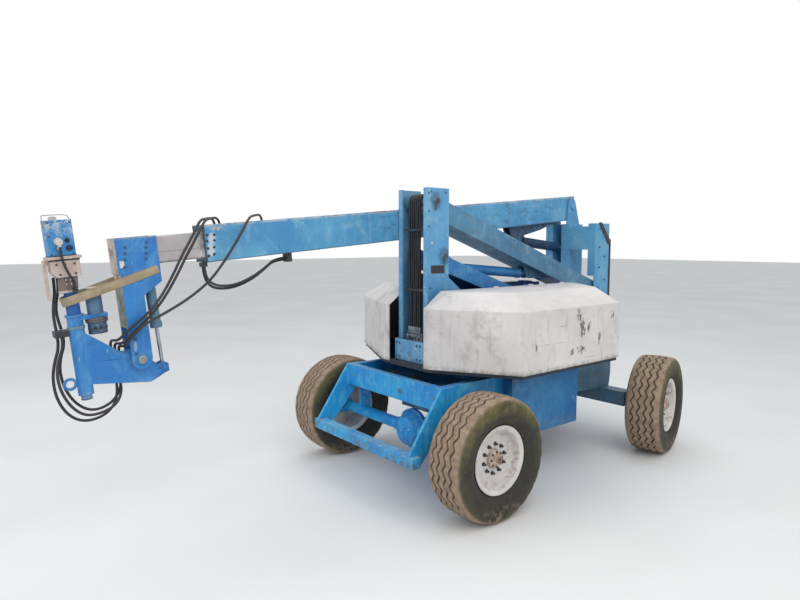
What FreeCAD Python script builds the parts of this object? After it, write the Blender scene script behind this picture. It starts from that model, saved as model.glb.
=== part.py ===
import FreeCAD, Part
import math
import os

# Articulating boom lift on four wheels, parked with its boom stowed and its platform taken off.
# Millimetres. X points along the stowed boom toward its head, Y to the machine's left side, Z up.
# Everything is first placed from the centre of the slew ring on the ground, and the last step
# moves the whole machine along X so that the middle of its length is at X = 0.

V = FreeCAD.Vector
os.makedirs("parts", exist_ok=True)

# Wheels and axles
tyre_dia = 840.0
tyre_width = 303.0
bead_dia = 400.0
rim_flange_dia = 462.0
rim_width = 236.0
rim_wall = 8.0
rim_disc_inset = 62.0
hub_dia = 128.0
hub_reach = 34.0
hub_step = 24.0
hub_cap = 22.0
rim_face_depth = 40.0
wheelbase = 2105.0
track = 1737.0
axle_tube_dia = 90.0
diff_offset = 100.0
diff_dia = 310.0
pinion_dia = 124.0
pinion_reach = 240.0
axle_flange = 60.0
saddle_half = 50.0
saddle_plate = 20.0
spindle_dia = 60.0
kingpin_offset = 170.0
kingpin_dia = 44.0
steer_beam_side = 130.0
steer_arm = 150.0
steer_arm_high = 4.0
steer_arm_low = 24.0
fork_plate = 26.0
fork_half = 34.0
fork_reach = 75.0
knuckle_half = 38.0
flange_start = 58.0
flange_half = 62.0
tie_rod_dia = 32.0
tie_end_dia = 48.0
park_steer = 14.0

# Chassis
chassis_bottom = 370.0
chassis_top = 840.0
chassis_half_width = 650.0
chassis_rear = -240.0
chassis_front = 560.0
front_bar_ahead = 147.5
front_bar_x = wheelbase / 2 + front_bar_ahead
front_bar_depth = 170.0
front_bar_half = 560.0
rail_width = 50.0
tray_rise = 60.0
gusset_back = 110.0
gusset_plate = 20.0
bumper_overhang = 55.0
bumper_ahead = 255.0
bumper_x = front_bar_x + bumper_ahead
bumper_z = 385.0
bumper_side = 75.0
rear_overhang = 62.5
rear_rail_end = -wheelbase / 2 - rear_overhang
rear_rail_half = 400.0
rear_rail_height = 210.0
rear_rail_plate = 14.0
rear_frame_drop = 40.0
pivot_half_x = 60.0
pivot_half_y = 45.0
plate = 12.0

# Turntable
slew_ring_dia = 760.0
slew_ring_wall = 90.0
deck_bottom = 900.0
deck_top = 940.0
hood_front = 1125.0
hood_rear = -725.0
hood_side = 930.0
hood_chamfer_x = 351.0
hood_near_inner = 300.0
hood_near_corner = 349.0
hood_far_inner = -103.0
hood_far_corner = -190.0
hood_shoulder = 1360.0
hood_top = 1480.0
hood_bottom = 925.0
hood_inset = 165.0
hood_wall = 6.0
hinge_dia = 16.0
hinge_pin_dia = 7.0
hinge_length = 60.0
hinge_pitch = 420.0
hinge_count = 3
hood_gap = 6.0
bay_wall = 6.0
bay_wall_drop = 12.0
bay_wall_inset = 60.0

# Riser pins on the mast, as (x, z), and the arms' slope and length between pins
pin_upper_x = 956.0
pin_upper_z = 2136.0
pin_back = 83.0
pin_drop = 402.0
riser_slope = 19.3
riser_length = 2210.0
pin_upper = (pin_upper_x, pin_upper_z)
pin_lower = (pin_upper_x - pin_back, pin_upper_z - pin_drop)

# Riser mast
mast_far = -90.0
mast_near = 242.0
mast_ahead = 84.0
mast_front = pin_upper_x + mast_ahead
mast_depth = 214.0
mast_back = mast_front - mast_depth
mast_foot_depth = 350.0
mast_foot_back = mast_front - mast_foot_depth
mast_cap = 94.0
mast_top = pin_upper_z + mast_cap
mast_flare_top = 1573.0
mast_flare_low = 1466.0
mast_lip = 43.0
pin_head = 16.0
pin_head_low = 4.0
base_ahead = 38.0
base_front = mast_front + base_ahead
base_near = 294.0
base_top = 1100.0
valve_top = 1150.0
valve_depth = 90.0
valve_width = 180.0

# Plain blocks under the hoods, as distances inside the hoods' shells
engine_front_gap = 605.0
engine_rear_gap = 475.0
engine_side_gap = 170.0
engine_inner_gap = 90.0
engine_top_gap = 70.0
tank_front_gap = 705.0
tank_rear_gap = 375.0
tank_inner_gap = 287.0
tank_top_gap = 120.0
hose_bend_gap = 25.0
hose_entry = 60.0
mast_hose_count = 6
mast_hose_first = 2.0
mast_hose_pitch = 24.0
mast_hose_dia = 18.0

# Riser arms, which stay parallel
arm_far = -54.0
arm_near = 206.0
arm_wall = 8.0
arm_cheek = 12.0
arm_mouth = 165.0
arm_boss_wall = 12.0
lug_plate = 14.0
lug_gap = 3.0
upper_above = 48.0
upper_below = 105.0
lower_above = 15.0
lower_below = 100.0
arm_eye = 50.0
riser_pin_dia = 50.0
pin_clearance = 0.3
run_gap = 5.0

# Riser knuckle behind the turntable
knuckle_pin_x = pin_upper_x - riser_length * math.cos(math.radians(riser_slope))
knuckle_pin_z = pin_upper_z - riser_length * math.sin(math.radians(riser_slope))
boom_pin_z = 2190.0
boom_pin = (knuckle_pin_x, boom_pin_z)
knuckle_ahead = 76.8
knuckle_depth = 225.0
knuckle_front = knuckle_pin_x + knuckle_ahead
knuckle_rear = knuckle_front - knuckle_depth
knuckle_below_pin = 178.0
knuckle_top = boom_pin_z - knuckle_below_pin
knuckle_foot = 68.5
knuckle_bottom = knuckle_pin_z - pin_drop - knuckle_foot
knuckle_near = 242.0
post_inner = 161.0
crossbar_drop = 27.0
crossbar_height = 220.0
crossbar_high = knuckle_top - crossbar_drop
crossbar_low = crossbar_high - crossbar_height
crossbar_depth = 100.0
strip_thick = 9.0
strip_width = 44.0
strip_drop = 150.0
strip_length = 640.0
strip_tail = 16.0
ear_plate = 16.0
post_back = 25.0
post_drop = 380.0
ear_rise = 72.0
ear_top = boom_pin_z + ear_rise

# Boom
boom_droop = 5.3
boom_centre = -195.0
outer_width = 190.0
outer_above = 93.0
outer_below = 138.0
outer_wall = 6.0
outer_rear = -60.0
outer_front = 3697.0
inner_width = 140.0
inner_above = 50.0
inner_below = 110.0
inner_wall = 8.0
inner_rear = 700.0
inner_front = 4205.0
boom_pin_dia = 50.0
slide_gap = 1.0
pad_length = 110.0

# Boom head and drop arm, in the boom's own directions
head_rear = 3980.0
head_above = 55.0
head_below = 215.0
drop_rear = 4090.0
drop_plate = 12.0
head_cap = 8.0
web_above_pin = 190.0
tilt_pin_s = 4150.0
tilt_pin_n = -657.0
tilt_pin = (tilt_pin_s, tilt_pin_n)
cheek_radius = 58.0
tilt_pin_dia = 40.0

# Platform bracket
bracket_width = 70.0
bracket_bottom = -812.0
bracket_front_low = -745.0
bracket_top = -450.0
bracket_tail = 60.0
eye_ring_n = -733.0
tail_pin = (4018.0, -741.0)
tail_radius = 34.0
post_s = 4455.0
post_dia = 82.0
post_low = -807.0
post_collar = -345.0
post_high = -200.0
spigot_dia = 48.0
sleeve_radius = 36.0
spigot_short = 20.0
collar_wall = 12.0
shelf_low = 34.0
motor_s = 4345.0
motor_dia = 100.0
motor_low = -470.0
motor_high = -206.0
motor_step = 8.0
eye_ring_dia = 72.0
eye_hole_dia = 44.0
platform_bolt_circle = 34.0
platform_bolt_hole = 9.0
fork_rear = (4426.0, 4450.0)
fork_leg_low = -300.0
rear_leg_top = (4415.0, 4438.0)
rear_leg_foot = (4420.0, 4440.0)
rear_leg_low = -196.0
front_leg_top = (4486.0, 4513.0)
front_leg_foot = (4470.0, 4519.0)
front_leg_low = -218.0
leg_proud = 12.0
plate_s = 4461.0
housing_low = -130.0
housing_high = -32.0
housing_rear = 4396.0
housing_front = 4540.0
housing_half = 60.0
housing_chamfer_s = 22.0
housing_chamfer_n = 34.0
rim_step = 12.0
rim_plate = 16.0
box_rear = 4408.0
box_front = 4538.0
box_high = 180.0
stay_front = 4570.0
stay_low = -250.0

# Free hoses and the lead, with their routes in the boom's own directions as (along, above, y)
hose_dia = 16.0
lead_dia = 14.0
hose_clamp = 34.0
hose_clamp_reach = 60.0
hose_block_height = 34.0
lead_plug_dia = 34.0
lead_plug_drop = 26.0
lead_plug_reach = 44.0
lead_gland = 14.0
pair_a_route = [
    (3526, -20, -334), (3526, 66, -334), (3556, 134, -294), (3640, 130, -200), (3722, 124, -78),
    (3792, 28, -50), (3864, -72, -50), (3932, -186, -54), (4004, -290, -58), (4080, -374, -64),
    (4156, -428, -70), (4222, -474, -84), (4264, -526, -128), (4278, -530, -236), (4279, -572, -266),
    (4278, -664, -268), (4276, -752, -262), (4278, -838, -252), (4304, -914, -242), (4370, -966, -230),
    (4476, -974, -220), (4556, -918, -212), (4602, -812, -214), (4607, -688, -220), (4580, -588, -222),
    (4550, -518, -222), (4550, -462.3, -222)]
pair_b_route = [
    (3490, -20, -334), (3490, 66, -334), (3522, 134, -294), (3608, 130, -200), (3692, 122, -78),
    (3768, 20, -50), (3842, -84, -50), (3912, -196, -54), (3984, -298, -60), (4062, -386, -68),
    (4142, -452, -76), (4206, -502, -88), (4244, -548, -128), (4258, -552, -236), (4258, -596, -266),
    (4257, -686, -268), (4256, -768, -262), (4258, -850, -236), (4306, -912, -204), (4392, -936, -188),
    (4478, -926, -168), (4542, -862, -160), (4582, -764, -164), (4590, -660, -174), (4564, -574, -190),
    (4532, -516, -194), (4532, -462.3, -194)]
single_route = [
    (3190, -20, -334), (3190, 66, -334), (3216, 134, -294), (3304, 130, -200), (3400, 122, -78),
    (3474, 30, -50), (3550, -66, -48), (3626, -158, -50), (3708, -242, -54), (3806, -308, -56),
    (3910, -360, -52), (4022, -404, -44), (4130, -442, -42), (4196, -500, -60), (4234, -566, -118),
    (4238, -570, -236), (4238, -614, -266), (4237, -700, -276), (4238, -776, -286), (4262, -858, -280),
    (4326, -916, -262), (4426, -930, -252), (4502, -872, -250), (4550, -772, -250), (4562, -664, -252),
    (4546, -580, -250), (4518, -516, -248), (4518, -462.3, -248)]
loop_a_route = [
    (3706, -164.3, -140), (3706, -232, -140), (3662, -284, -142), (3586, -304, -146), (3490, -300, -150),
    (3376, -264, -152), (3282, -212, -152), (3214, -168, -152), (3134.3, -168, -152)]
loop_b_route = [
    (3706, -164.3, -166), (3706, -240, -166), (3668, -300, -168), (3592, -322, -172), (3494, -320, -176),
    (3380, -284, -178), (3286, -230, -178), (3218, -182, -178), (3134.3, -182, -178)]
post_a_route = [(4526, -130.3, -214), (4526, -200, -214), (4546, -284, -222), (4554, -364, -224),
                (4550, -425, -222)]
post_b_route = [(4502, -130.3, -246), (4502, -196, -246), (4526, -276, -258), (4532, -356, -260),
                (4520, -425, -254)]
lead_route = [(4488, 34, -101), (4488, -32, -101), (4474, -90, -97), (4452, -140, -108),
              (4438, -166, -136), (4438, -199.7, -136)]

# The webbing strap between the post and the drop arm
strap_width = 50.0
strap_thick = 3.0
strap_wrap = 54.0
strap_far = inner_width / 2 + drop_plate + pin_clearance
strap_post_n = -258.0
strap_slope = 14.2
strap_corner = 4226.0
strap_rear = 3992.0

# Cylinders, as (barrel diameter, rod diameter, eye radius)
riser_ram = (80.0, 40.0, 32.0)
boom_ram = (90.0, 45.0, 36.0)
level_ram = (60.0, 22.0, 22.0)
riser_base = (-330.0, 5.0)
riser_end = (-1330.0, -142.0)
boom_base_ahead = 50.0
boom_base_drop = 405.0
boom_base = (knuckle_pin_x + boom_base_ahead, boom_pin_z - boom_base_drop)
boom_end = (760.0, -268.0)
level_base = (4032.0, -175.0)
ram_pin_dia = 30.0


def box(x0, x1, y0, y1, z0, z1):
    return Part.makeBox(x1 - x0, y1 - y0, z1 - z0, V(x0, y0, z0))


def rod(start, direction, radius, length):
    """A cylinder that starts at a point and runs along a direction."""
    return Part.makeCylinder(radius, length, V(*start), V(*direction))


def across(x, z, radius, y0, y1):
    """A cylinder across the machine, from y0 to y1."""
    return rod((x, y0, z), (0, 1, 0), radius, y1 - y0)


def side_plate(points, y0, y1):
    """A plate or block whose outline is given as (x, z) points."""
    outline = [V(x, y0, z) for x, z in points]
    face = Part.Face(Part.makePolygon(outline + outline[:1]))
    return face.extrude(V(0, y1 - y0, 0))


def flat_plate(points, z0, z1):
    """A plate or block whose outline is given as (x, y) points."""
    outline = [V(x, y, z0) for x, y in points]
    face = Part.Face(Part.makePolygon(outline + outline[:1]))
    return face.extrude(V(0, 0, z1 - z0))


def turned(profile, centre, axis=(0, 1, 0)):
    """A body of revolution about an axis, from (radius, place along it) points."""
    outline = [V(radius, 0, along) for radius, along in profile]
    face = Part.Face(Part.makePolygon(outline + outline[:1]))
    solid = face.revolve(V(0, 0, 0), V(0, 0, 1), 360)
    turn = FreeCAD.Rotation(V(0, 0, 1), V(*axis))
    solid.Placement = FreeCAD.Placement(V(*centre), turn)
    return solid


def join(*shapes):
    whole = shapes[0].fuse(list(shapes[1:]))
    return whole.removeSplitter()


def spun(shape, centre, axis, angle):
    turned_copy = shape.copy()
    turned_copy.rotate(V(*centre), V(*axis), angle)
    return turned_copy


def on_arm(shape, pin):
    """Moves a shape drawn along X, with its front pin at the origin, onto the stowed riser."""
    placed = spun(shape, (0, 0, 0), (0, 1, 0), -riser_slope)
    placed.translate(V(pin[0], 0, pin[1]))
    return placed


def on_boom(shape):
    """Moves a shape drawn along X, with the boom's pin at the origin, onto the stowed boom."""
    placed = spun(shape, (0, 0, 0), (0, 1, 0), boom_droop)
    placed.translate(V(boom_pin[0], 0, boom_pin[1]))
    return placed


def arm_point(pin, along, above):
    slope = math.radians(riser_slope)
    return (pin[0] + along * math.cos(slope) - above * math.sin(slope),
            pin[1] + along * math.sin(slope) + above * math.cos(slope))


def boom_point(along, above):
    droop = math.radians(boom_droop)
    return (boom_pin[0] + along * math.cos(droop) + above * math.sin(droop),
            boom_pin[1] - along * math.sin(droop) + above * math.cos(droop))


def tube_box(x0, x1, y0, y1, z0, z1, wall):
    """A square tube along X, open at both ends."""
    outer = box(x0, x1, y0, y1, z0, z1)
    inner = box(x0 - wall, x1 + wall, y0 + wall, y1 - wall, z0 + wall, z1 - wall)
    return outer.cut(inner)


nodes = {}
frame = {}


def build_wheel(centre_y, outward):
    """A rim and its tyre round the Y axis at the origin's X and Z, outboard side given by its sign."""
    tyre_r = tyre_dia / 2
    half = tyre_width / 2
    bead_r = bead_dia / 2 + pin_clearance
    bead_half = rim_width / 2 - rim_wall - pin_clearance
    # Half of the tyre's section, as (radius, share of its half width)
    lip = rim_flange_dia / 2 + pin_clearance
    section = [(bead_r, bead_half), (lip, bead_half), (lip + 12, bead_half + 14), (bead_r + 84, half - 4),
               (tyre_r - 95, half),
               (tyre_r - 42, half - 6), (tyre_r - 14, half - 20), (tyre_r - 3, half - 52),
               (tyre_r, half - 86)]
    profile = [(r, y) for r, y in section] + [(r, -y) for r, y in reversed(section)]
    tyre = turned(profile, (0, centre_y, 0))
    flange_r = rim_flange_dia / 2
    barrel_r = bead_dia / 2
    edge = rim_width / 2
    disc = edge - rim_disc_inset
    barrel = turned([(barrel_r - rim_wall, -edge), (flange_r, -edge), (flange_r, -edge + rim_wall),
                     (barrel_r, -edge + rim_wall), (barrel_r, edge - rim_wall),
                     (flange_r, edge - rim_wall),
                     (flange_r, edge), (barrel_r - rim_wall, edge)], (0, centre_y, 0))
    bore = spindle_dia / 2 + pin_clearance
    hub = hub_dia / 2
    back = disc - rim_face_depth
    end = disc + hub_reach
    face = turned([(bore, back), (hub + hub_step, back), (hub + hub_step, disc - rim_wall),
                   (barrel_r - rim_wall, disc - rim_wall),
                   (barrel_r - rim_wall, disc), (hub, disc), (hub, end), (hub - hub_step, end + hub_cap),
                   (0, end + hub_cap), (0, end), (bore, end)], (0, centre_y, 0))
    if outward < 0:
        face = spun(face, (0, centre_y, 0), (0, 0, 1), 180)
    rim = join(barrel, face)
    return tyre, rim


def spindle_reach():
    """How far a spindle goes past the wheel's middle plane."""
    return rim_width / 2 - rim_disc_inset + hub_reach - run_gap


def hub_face_reach():
    """How far out the axle's end face stands, just short of the hub's back."""
    return track / 2 + rim_width / 2 - rim_disc_inset - rim_face_depth - run_gap


def build_drive_wheels():
    axle_x = wheelbase / 2
    for side, sign in (("near", 1), ("far", -1)):
        tyre, rim = build_wheel(sign * track / 2, sign)
        for kind, shape in (("tyre", tyre), ("rim", rim)):
            shape.translate(V(axle_x, 0, tyre_dia / 2))
            nodes[kind + "_drive_" + side] = shape
        frame["wheel_drive_" + side] = (axle_x, sign * track / 2, tyre_dia / 2)


def build_drive_axle():
    axle_x = wheelbase / 2
    axle_z = tyre_dia / 2
    hub_face = hub_face_reach()
    spindle = track / 2 + spindle_reach()
    tube = across(axle_x, axle_z, axle_tube_dia / 2, -hub_face, hub_face)
    parts = [tube, across(axle_x, axle_z, spindle_dia / 2, -spindle, spindle)]
    for sign in (1, -1):
        inner = min(sign * (hub_face - axle_flange), sign * hub_face)
        parts.append(across(axle_x, axle_z, axle_tube_dia * 0.8, inner, inner + axle_flange))
        # Saddle plates that hang the axle from the side rails
        y = sign * saddle_y
        parts.append(box(axle_x - saddle_half, axle_x + saddle_half, y - saddle_plate / 2,
                         y + saddle_plate / 2,
                         axle_z, chassis_top - front_bar_depth))
    r = diff_dia / 2
    housing = turned([(0, -95), (r * 0.45, -95), (r * 0.93, -25), (r, -20), (r, 8), (r * 0.93, 14),
                      (r * 0.66, 84), (r * 0.3, 112), (0, 116)], (axle_x, diff_offset, axle_z), (1, 0, 0))
    pinion = rod((axle_x - pinion_reach, diff_offset, axle_z), (1, 0, 0), pinion_dia / 2, pinion_reach)
    trumpets = []
    for sign in (1, -1):
        cone = Part.makeCone(r * 0.5, axle_tube_dia / 2 + 6, 190, V(axle_x, diff_offset, axle_z),
                             V(0, sign, 0))
        trumpets.append(cone)
    nodes["drive_axle"] = join(*parts, housing, pinion, *trumpets)


saddle_y = front_bar_half - rail_width / 2


def build_chassis():
    main = box(chassis_rear, chassis_front, -chassis_half_width, chassis_half_width, chassis_bottom,
               chassis_top)
    nodes["chassis_box"] = main
    low = chassis_top - front_bar_depth
    bar = box(front_bar_x - rail_width, front_bar_x, -front_bar_half, front_bar_half, low, chassis_top)
    tray = box(chassis_front, front_bar_x - rail_width, -front_bar_half, front_bar_half, low + tray_rise,
               low + tray_rise + plate)
    parts = [bar, tray]
    half = bumper_side / 2
    bumper_half = front_bar_half + bumper_overhang
    parts.append(box(bumper_x - half, bumper_x + half, -bumper_half, bumper_half, bumper_z - half,
                     bumper_z + half))
    for sign in (1, -1):
        edge = sign * front_bar_half
        inner = edge - sign * rail_width
        parts.append(box(chassis_front, front_bar_x, min(edge, inner), max(edge, inner), low,
                         chassis_top))
        outline = [(front_bar_x - gusset_back, chassis_top), (front_bar_x, chassis_top),
                   (bumper_x + half, bumper_z + half),
                   (bumper_x + half, bumper_z - half), (bumper_x - half * 1.8, bumper_z - half),
                   (front_bar_x - gusset_back, low)]
        outer = edge + sign * gusset_plate
        parts.append(side_plate(outline, min(edge, outer), max(edge, outer)))
        spread = sign * bumper_half
        parts.append(box(bumper_x - half, bumper_x + half, min(outer, spread), max(outer, spread),
                         bumper_z - half, bumper_z + half))
    nodes["front_frame"] = join(*parts)


def build_rear_frame():
    axle_x = -wheelbase / 2
    axle_z = tyre_dia / 2
    high = chassis_top - rear_frame_drop
    low = high - rear_rail_height
    parts = []
    beam_top = axle_z + steer_beam_side / 2
    for sign in (1, -1):
        outer = sign * rear_rail_half
        inner = sign * (rear_rail_half - rear_rail_plate)
        outline = [(chassis_rear, low - 60), (chassis_rear, high), (rear_rail_end, high),
                   (rear_rail_end, low + 30),
                   (axle_x - 40, beam_top + run_gap), (axle_x + 150, beam_top + run_gap)]
        parts.append(side_plate(outline, min(outer, inner), max(outer, inner)))
    parts.append(box(rear_rail_end, chassis_rear, -rear_rail_half, rear_rail_half, high - plate, high))
    parts.append(box(rear_rail_end, rear_rail_end + plate, -rear_rail_half, rear_rail_half, low + 30,
                     high))
    # A pivot lug at the middle carries the steer axle's beam
    parts.append(box(axle_x - pivot_half_x, axle_x + pivot_half_x, -pivot_half_y, pivot_half_y, beam_top,
                     high - plate))
    nodes["rear_frame"] = join(*parts)


def build_steer_axle():
    axle_x = -wheelbase / 2
    axle_z = tyre_dia / 2
    half = steer_beam_side / 2
    pin_y = track / 2 - kingpin_offset
    end = pin_y - fork_reach
    beam = box(axle_x - half, axle_x + half, -end, end, axle_z - half, axle_z + half)
    parts = [beam]
    for sign in (1, -1):
        inner = sign * end
        tip = sign * pin_y
        for z in (axle_z - half, axle_z + half - fork_plate):
            parts.append(box(axle_x - fork_half, axle_x + fork_half, min(inner, tip), max(inner, tip), z,
                             z + fork_plate))
            parts.append(rod((axle_x, tip, z), (0, 0, 1), fork_half, fork_plate))
        parts.append(rod((axle_x, tip, axle_z - half - plate), (0, 0, 1), kingpin_dia / 2,
                         steer_beam_side + 2 * plate))
    nodes["steer_axle"] = join(*parts)


def build_steer_side(side, sign):
    """One steered wheel and its knuckle, built straight and then turned about its kingpin."""
    axle_x = -wheelbase / 2
    axle_z = tyre_dia / 2
    pin_y = sign * (track / 2 - kingpin_offset)
    inner_half = steer_beam_side / 2 - fork_plate - pin_clearance
    body = rod((axle_x, pin_y, axle_z - inner_half), (0, 0, 1), knuckle_half, 2 * inner_half)
    bore = rod((axle_x, pin_y, axle_z - inner_half - 1), (0, 0, 1), kingpin_dia / 2 + pin_clearance,
               2 * inner_half + 2)
    spindle_end = sign * (track / 2 + spindle_reach())
    stub = across(axle_x, axle_z, spindle_dia / 2, min(pin_y, spindle_end), max(pin_y, spindle_end))
    outer = sign * hub_face_reach()
    inner = pin_y + sign * flange_start
    flange = across(axle_x, axle_z, flange_half, min(inner, outer), max(inner, outer))
    arm_half = knuckle_half / 2
    arm = box(axle_x - steer_arm - arm_half, axle_x, pin_y - arm_half, pin_y + arm_half,
              axle_z - steer_arm_low, axle_z + steer_arm_high)
    knuckle = join(body, stub, flange, arm).cut(bore)
    tyre, rim = build_wheel(sign * track / 2, sign)
    shapes = {"steer_knuckle_" + side: knuckle}
    for kind, shape in (("tyre", tyre), ("rim", rim)):
        shape.translate(V(axle_x, 0, axle_z))
        shapes[kind + "_steer_" + side] = shape
    for name, shape in shapes.items():
        nodes[name] = spun(shape, (axle_x, pin_y, 0), (0, 0, 1), park_steer)
    turn = math.radians(park_steer)
    reach = sign * kingpin_offset
    frame["kingpin_" + side] = (axle_x, pin_y, axle_z)
    frame["wheel_steer_" + side] = (axle_x - reach * math.sin(turn), pin_y + reach * math.cos(turn),
                                    axle_z)


def build_tie_rod():
    turn = math.radians(park_steer)
    x = -wheelbase / 2 - steer_arm * math.cos(turn)
    shift = -steer_arm * math.sin(turn)
    pin_y = track / 2 - kingpin_offset
    half = tie_rod_dia / 2
    z = tyre_dia / 2 - steer_arm_low - pin_clearance - half
    bar = across(x, z, half, -pin_y + shift, pin_y + shift)
    ends = [rod((x, sign * pin_y + shift, z - half), (0, 0, 1), tie_end_dia / 2,
                tie_rod_dia) for sign in (1, -1)]
    nodes["tie_rod"] = join(bar, *ends)
    frame["tie_rod"] = (x, shift, z)


def hood_plan(inner, corner, sign):
    """One hood's outline seen from above, from its inner front corner to its inner rear one."""
    side = sign * hood_side
    return [(hood_front, inner), (hood_front, corner), (hood_front - hood_chamfer_x, side),
            (hood_rear + hood_chamfer_x, side), (hood_rear, corner), (hood_rear, inner)]


def hood_inner_plan(inner, corner, sign, inset):
    """The same outline drawn in by a distance on every side but the inner one."""
    width = abs(sign * hood_side - corner)
    slope = hood_chamfer_x / width
    front = hood_front - inset
    side = sign * (hood_side - inset)
    # Where the drawn-in chamfer meets the drawn-in front and side
    offset = inset * math.hypot(hood_chamfer_x, width) / width
    corner_in = corner - sign * (inset - offset) / slope
    front_side = hood_front - offset - slope * abs(side - corner)
    rear_side = hood_front + hood_rear - front_side
    rear = hood_front + hood_rear - front
    return [(front, inner), (front, corner_in), (front_side, side), (rear_side, side), (rear, corner_in),
            (rear, inner)]


def loft_between(lower, z0, upper, z1):
    rings = []
    for points, z in ((lower, z0), (upper, z1)):
        outline = [V(x, y, z) for x, y in points]
        rings.append(Part.makePolygon(outline + outline[:1]))
    return Part.makeLoft(rings, True, True)


def hinge_places():
    """Where each hood's hinges start along X; the bay wall's half of a hinge follows the hood's half."""
    middle = (hood_rear + mast_foot_back) / 2
    first = middle - hinge_pitch * (hinge_count - 1) / 2 - hinge_length
    return [first + number * hinge_pitch for number in range(hinge_count)]


def build_hood(name, inner, corner, sign):
    outer_plan = hood_plan(inner, corner, sign)
    top_plan = hood_inner_plan(inner, corner, sign, hood_inset)
    outer = join(flat_plate(outer_plan, hood_bottom, hood_shoulder),
                 loft_between(outer_plan, hood_shoulder, top_plan, hood_top))
    thin = hood_inner_plan(inner, corner, sign, hood_wall)
    thin_top = hood_inner_plan(inner, corner, sign, hood_inset + hood_wall * 0.6)
    bend = hood_shoulder - hood_wall * 0.4
    hollow = join(flat_plate(thin, hood_bottom - 1, bend),
                  loft_between(thin, bend, thin_top, hood_top - hood_wall))
    shell = outer.cut(hollow)
    barrels = [rod((x, inner, hood_top), (1, 0, 0), hinge_dia / 2, hinge_length) for x in hinge_places()]
    shell = join(shell, *barrels)
    cuts = []
    for x in hinge_places():
        cuts.append(rod((x, inner, hood_top), (1, 0, 0), hinge_pin_dia / 2 + pin_clearance, hinge_length))
        cuts.append(rod((x + hinge_length, inner, hood_top), (1, 0, 0), hinge_dia / 2 + pin_clearance,
                        hinge_length + pin_clearance))
    nodes[name] = shell.cut(cuts)
    frame[name] = (0.0, inner, hood_top)


def build_turntable():
    ring_r = slew_ring_dia / 2
    lower = rod((0, 0, chassis_top), (0, 0, 1), ring_r, deck_bottom - chassis_top - pin_clearance)
    nodes["slew_ring"] = lower.cut(rod((0, 0, chassis_top), (0, 0, 1), ring_r - slew_ring_wall,
                                       deck_bottom - chassis_top))
    margin = hood_wall + hood_gap
    near = hood_inner_plan(0, hood_near_corner, 1, margin)
    far = hood_inner_plan(0, hood_far_corner, -1, margin)
    deck = join(flat_plate(near, deck_bottom, deck_top), flat_plate(far, deck_bottom, deck_top))
    nodes["turntable_deck"] = deck
    walls = []
    for inner, sign in ((hood_near_inner, 1), (hood_far_inner, -1)):
        face = inner - sign * pin_clearance
        back = face - sign * bay_wall
        low_y = min(face, back)
        high_y = max(face, back)
        top = hood_top - bay_wall_drop
        wall = box(hood_rear + bay_wall_inset, mast_foot_back - run_gap, low_y, high_y, deck_top, top)
        hinges = []
        for x in hinge_places():
            start = x + hinge_length + pin_clearance
            hinges.append(box(start, start + hinge_length - pin_clearance, low_y, high_y, top, hood_top))
            hinges.append(rod((start, inner, hood_top), (1, 0, 0), hinge_dia / 2,
                              hinge_length - pin_clearance))
            hinges.append(rod((x, inner, hood_top), (1, 0, 0), hinge_pin_dia / 2, 2 * hinge_length))
        walls.append(join(wall, *hinges))
    nodes["bay_walls"] = Part.makeCompound(walls)


def build_mast():
    wall = plate
    outline = [(mast_front, mast_top), (mast_back, mast_top), (mast_back, mast_flare_top),
               (mast_foot_back, mast_flare_low), (mast_foot_back, deck_top), (mast_front, deck_top)]
    parts = []
    for y0 in (mast_far, mast_near - wall):
        parts.append(side_plate(outline, y0, y0 + wall))
    parts.append(box(mast_front - wall, mast_front, mast_far, mast_far + mast_lip, deck_top, mast_top))
    parts.append(box(mast_front - wall, mast_front, mast_near - mast_lip, mast_near, deck_top, mast_top))
    web_top = arm_point(pin_lower, 0, -lower_below)[1] - arm_eye
    parts.append(box(mast_back, mast_back + wall, mast_far, mast_near, deck_top, web_top))
    foot = box(mast_foot_back, base_front, mast_far, base_near, deck_top, base_top)
    foot = foot.cut(box(mast_foot_back, base_front - wall, mast_far + wall, mast_near - wall,
                        deck_top + wall, base_top))
    parts.append(foot)
    pins = []
    for x, z in (pin_upper, pin_lower):
        pins.append(across(x, z, riser_pin_dia / 2, mast_far - pin_head_low, mast_near + pin_head))
    nodes["riser_mast"] = join(*parts, *pins)


def build_upper_arm():
    rear = -riser_length
    wall = arm_wall
    mouth = arm_mouth
    parts = [tube_box(rear + mouth, -mouth, arm_far, arm_near, -upper_below, upper_above, wall)]
    for y0 in (arm_far, arm_near - arm_cheek):
        y1 = y0 + arm_cheek
        for end, inward in ((0.0, -1), (rear, 1)):
            cheek = side_plate([(end + inward * mouth, -upper_below), (end + inward * mouth, upper_above),
                                (end, upper_above), (end, -arm_eye),
                                (end + inward * arm_eye, -upper_below)], y0, y1)
            parts.append(cheek)
            parts.append(across(end, 0, arm_eye, y0, y1))
    for end in (0.0, rear):
        parts.append(across(end, 0, riser_pin_dia / 2 + arm_boss_wall, arm_far, arm_near))
    # Gusset plates under the beam that hold the lift ram's rod
    along, above = riser_end
    ram_half = riser_ram[2] * 0.75
    middle = (arm_far + arm_near) / 2
    for sign in (1, -1):
        y = middle + sign * (ram_half + lug_gap)
        lug = side_plate([(along - 240, -upper_below + 2), (along + 90, -upper_below + 2),
                          (along + 34, above - 20),
                          (along + 20, above - 38), (along - 20, above - 38), (along - 60, above - 24)],
                         min(y, y + sign * lug_plate), max(y, y + sign * lug_plate))
        parts.append(lug)
        face = y + sign * lug_plate
        head = face + sign * pin_head
        parts.append(across(along, above, ram_pin_dia / 2, min(face, head), max(face, head)))
    whole = join(*parts)
    for end in (0.0, rear):
        whole = whole.cut(across(end, 0, riser_pin_dia / 2 + pin_clearance, arm_far - 1, arm_near + 1))
    nodes["upper_arm"] = on_arm(whole, pin_upper)


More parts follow.
